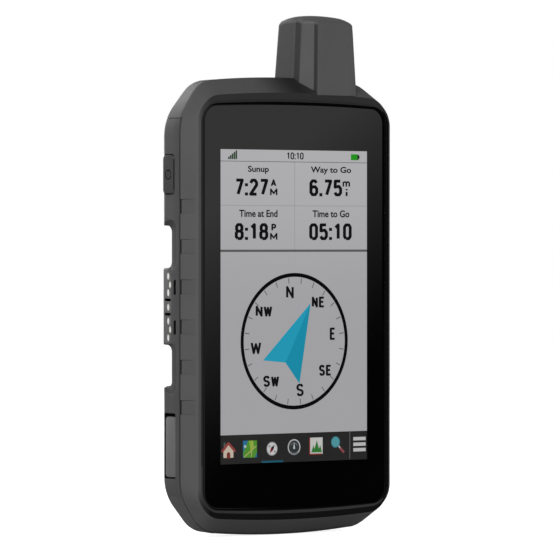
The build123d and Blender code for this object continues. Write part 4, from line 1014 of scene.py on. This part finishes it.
# Toolbar: generic pictures for home, map, compass, gauge, hills, search and menu, as
# (name, layer, colour, shapes, and strength, fade and thickness where they differ)
for name, layer, colour, shapes, *rest in (
    ("icon_home_wall", 1, (0.62, 0.53, 0.42),
     [[(-31.3, -52.2), (-27.0, -52.2), (-27.0, -49.4), (HOME_X, -47.4), (-31.3, -49.4)]]),
    ("icon_home_roof", 2, (0.3, 0.06, 0.06),
     [stroke(-32.0, -50.1, -29.1, -47.1, 0.9), stroke(-29.3, -47.1, -26.2, -50.1, 0.9)]),
    ("icon_home_chimney", 1, (0.09, 0.12, 0.1), [rect(-31.2, -48.6, -30.5, -46.9)]),
    ("icon_home_door", 2, (0.2, 0.04, 0.03),
     [rect(-29.9, -52.5, -28.4, -51.0), disc(HOME_X, -51.0, 0.75, 12, 0, 180)]),
    ("icon_map_green", 1, (0.09, 0.3, 0.04), [rect(-22.8, -52.4, -16.7, -46.5)]),
    ("icon_map_water", 2, (0.03, 0.17, 0.36),
     [[(-22.8, -46.5), (-22.8, -50.6), (-21.2, -47.6), (-20.6, -46.5)],
      [(-17.6, -52.4), (-16.7, -52.4), (-16.7, -50.6)],
      [(-22.8, -52.4), (-22.2, -52.4), (-22.8, -51.2)]]),
    ("icon_map_field", 2, (0.27, 0.46, 0.05),
     [[(-20.2, -46.5), (-18.4, -46.5), (-18.0, -49.0), (-19.4, -50.6), (-19.8, -48.4)]]),
    ("icon_map_road", 3, (0.42, 0.44, 0.12),
     [stroke(-22.4, -52.2, -17.0, -48.4, 0.4), stroke(-19.2, -52.3, -18.7, -46.6, 0.35)]),
    ("icon_map_town", 3, (0.5, 0.6, 0.6), [disc(-21.9, -48.5, 0.5, 12)]),
    ("icon_compass_rim", 0, (0.3, 0.3, 0.3), [disc(*DIAL, 2.4)], 1.0, 0.0, 0.04),
    ("icon_compass_face", 1, (0.62, 0.62, 0.62), [disc(*DIAL, 2.1)]),
    ("icon_compass_needle", 2, (0.02, 0.02, 0.02), [[(-10.5, -49.2), (-8.9, -48.2), (-9.5, -50.0)]]),
    ("icon_compass_tail", 2, (0.2, 0.01, 0.02), [[(-10.5, -49.2), (-9.5, -50.0), (-11.1, -51.2)]]),
    ("icon_compass_marks", 2, (0.06, 0.06, 0.06),
     [stroke(-11.4, -48.5, -10.9, -48.9, 0.4), stroke(-9.1, -50.4, -8.6, -50.8, 0.4)]),
    ("icon_gauge_rim", 1, (0.5, 0.5, 0.5), band(*GAUGE, 2.35, 2.8, 40, -45, 270)),
    ("icon_gauge_foot", 1, (0.22, 0.23, 0.24), band(*GAUGE, 2.1, 2.8, 12, 225, 90)),
    ("icon_gauge_face", 0, (0.03, 0.035, 0.038), [disc(*GAUGE, 2.2)], 1.0, 0.0, 0.04),
    ("icon_gauge_marks", 1, (0.13, 0.14, 0.15), band(*GAUGE, 1.35, 1.75, 5, 20, 140)),
    ("icon_gauge_hand", 2, (0.6, 0.62, 0.62),
     [[(-0.6, -49.5), (0.1, -49.5), (-0.25, -47.6)], disc(-0.25, -49.6, 0.4, 12)]),
    ("icon_profile_sky", 1, (0.6, 0.6, 0.58), [rect(6.7, -52.0, 12.5, -46.2)]),
    ("icon_profile_hill", 2, (0.04, 0.2, 0.04),
     [[(7.4, -51.4), (9.2, -51.4), (8.4, -48.8)], [(8.4, -51.4), (11.2, -51.4), (9.9, -47.2)],
      [(10.3, -51.4), (12.2, -51.4), (11.4, -48.9)]]),
    ("icon_profile_line", 3, (0.3, 0.05, 0.04),
     [rect(6.5, -52.2, 6.9, -46.2), rect(6.5, -52.2, 12.0, -51.8)]),
    ("icon_search_lens", 1, (0.09, 0.34, 0.38), [disc(*LENS, 1.85)]),
    ("icon_search_rim", 2, (0.05, 0.2, 0.25), band(*LENS, 1.75, 2.0, 32)),
    ("icon_search_neck", 1, (0.5, 0.5, 0.5), [stroke(19.7, -49.4, 20.5, -50.2, 0.6)]),
    ("icon_search_grip", 1, (0.28, 0.07, 0.08), [stroke(20.4, -50.1, 22.2, -51.8, 0.9)]),
    ("icon_menu", 1, (0.56, 0.56, 0.56),
     [rect(26.4, foot, 32.0, foot + 1.2) for foot in (-51.6, -49.65, -47.7)]),
    ("toolbar_divider", 1, (0.13, 0.13, 0.13), [rect(24.65, -54.2, 24.95, -44.7)]),
    ("toolbar_underline", 1, (0.015, 0.12, 0.18), [rect(-14.6, -54.35, -5.1, -53.75)]),
):
    flat_piece(name, shapes, layer, colour, *rest)

# ------------------------------------------------------------------ stage, light and camera

floor = new_object("floor", [(x, y, -0.1) for x, y in rect(-3000, -3000, 3000, 3000)], [(0, 1, 2, 3)])
floor_mat = material("floor_paper", (0.55, 0.55, 0.55), 0.9, grain=0.4, bump=0.01, mottle=0.01,
                     specular=0.0)
floor.data.materials.append(floor_mat)
# The paper looks white to the camera, with the soft shadow under the device still darker
g = Graph(floor_mat, clear=False)
seen = g.add("LightPath").outputs["Is Camera Ray"]
g.glow(g.maths("MULTIPLY", seen, 0.85))

# White to the camera; as a light, brighter at the horizon than overhead
world = bpy.data.worlds.new("studio")
bpy.context.scene.world = world
g = Graph(world)
height = g.axes(g.add("TexCoord").outputs["Generated"]).outputs["Z"]
soft = g.add("Background", {"Color": WHITE, "Strength": g.ramp(height, 0.0, 1.0, 0.44, 0.16)})
seen = g.add("Background", {"Color": WHITE, "Strength": 1.0})
mixed = g.add("MixShader", {0: g.add("LightPath").outputs["Is Camera Ray"], 1: soft.outputs[0],
                            2: seen.outputs[0]})
g.feed(g.add("OutputWorld"), 0, mixed.outputs[0])


def softbox(name, place_at, look_at, size, power):
    """Square area light aimed at a point, in metres and watts."""
    light = bpy.data.lights.new(name, "AREA")
    light.shape = "SQUARE"
    light.size = size
    light.energy = power
    obj = bpy.data.objects.new(name, light)
    bpy.context.scene.collection.objects.link(obj)
    obj.location = place_at
    obj.rotation_mode = "QUATERNION"
    obj.rotation_quaternion = (Vector(look_at) - Vector(place_at)).to_track_quat("-Z", "Y")
    obj.visible_camera = False


BODY_MIDDLE = (0, 0, 0.09)
softbox("key_light", (-1.2, -1.1, 0.75), BODY_MIDDLE, 0.9, 28.0)
softbox("back_light", (0.1, 1.5, 0.6), BODY_MIDDLE, 0.9, 13.0)

# Turned round the upright axis, looking down by PITCH, and aimed beside the display's middle
TURN, PITCH = math.radians(38.103), math.radians(0.4225)
LENS_MM, SENSOR_MM, DISTANCE_M = 298.2, 36.0, 1.6
ahead = Vector((math.sin(TURN) * math.cos(PITCH), math.cos(TURN) * math.cos(PITCH), -math.sin(PITCH)))
across = Vector((math.cos(TURN), -math.sin(TURN), 0))
upward = across.cross(ahead)
aim = Vector((0, DISPLAY_Y * MM, MIDDLE_Z * MM)) + across * (-6.3 * MM) + upward * (10.3 * MM)
cam = bpy.data.cameras.new("camera")
cam.sensor_width, cam.lens = SENSOR_MM, LENS_MM
cam.clip_start, cam.clip_end = 0.05, 20.0
camera = bpy.data.objects.new("camera", cam)
bpy.context.scene.collection.objects.link(camera)
camera.location = aim - ahead * DISTANCE_M
camera.rotation_mode = "QUATERNION"
camera.rotation_quaternion = ahead.to_track_quat("-Z", "Y")
bpy.context.scene.camera = camera
bpy.context.scene.view_settings.view_transform = "Standard"
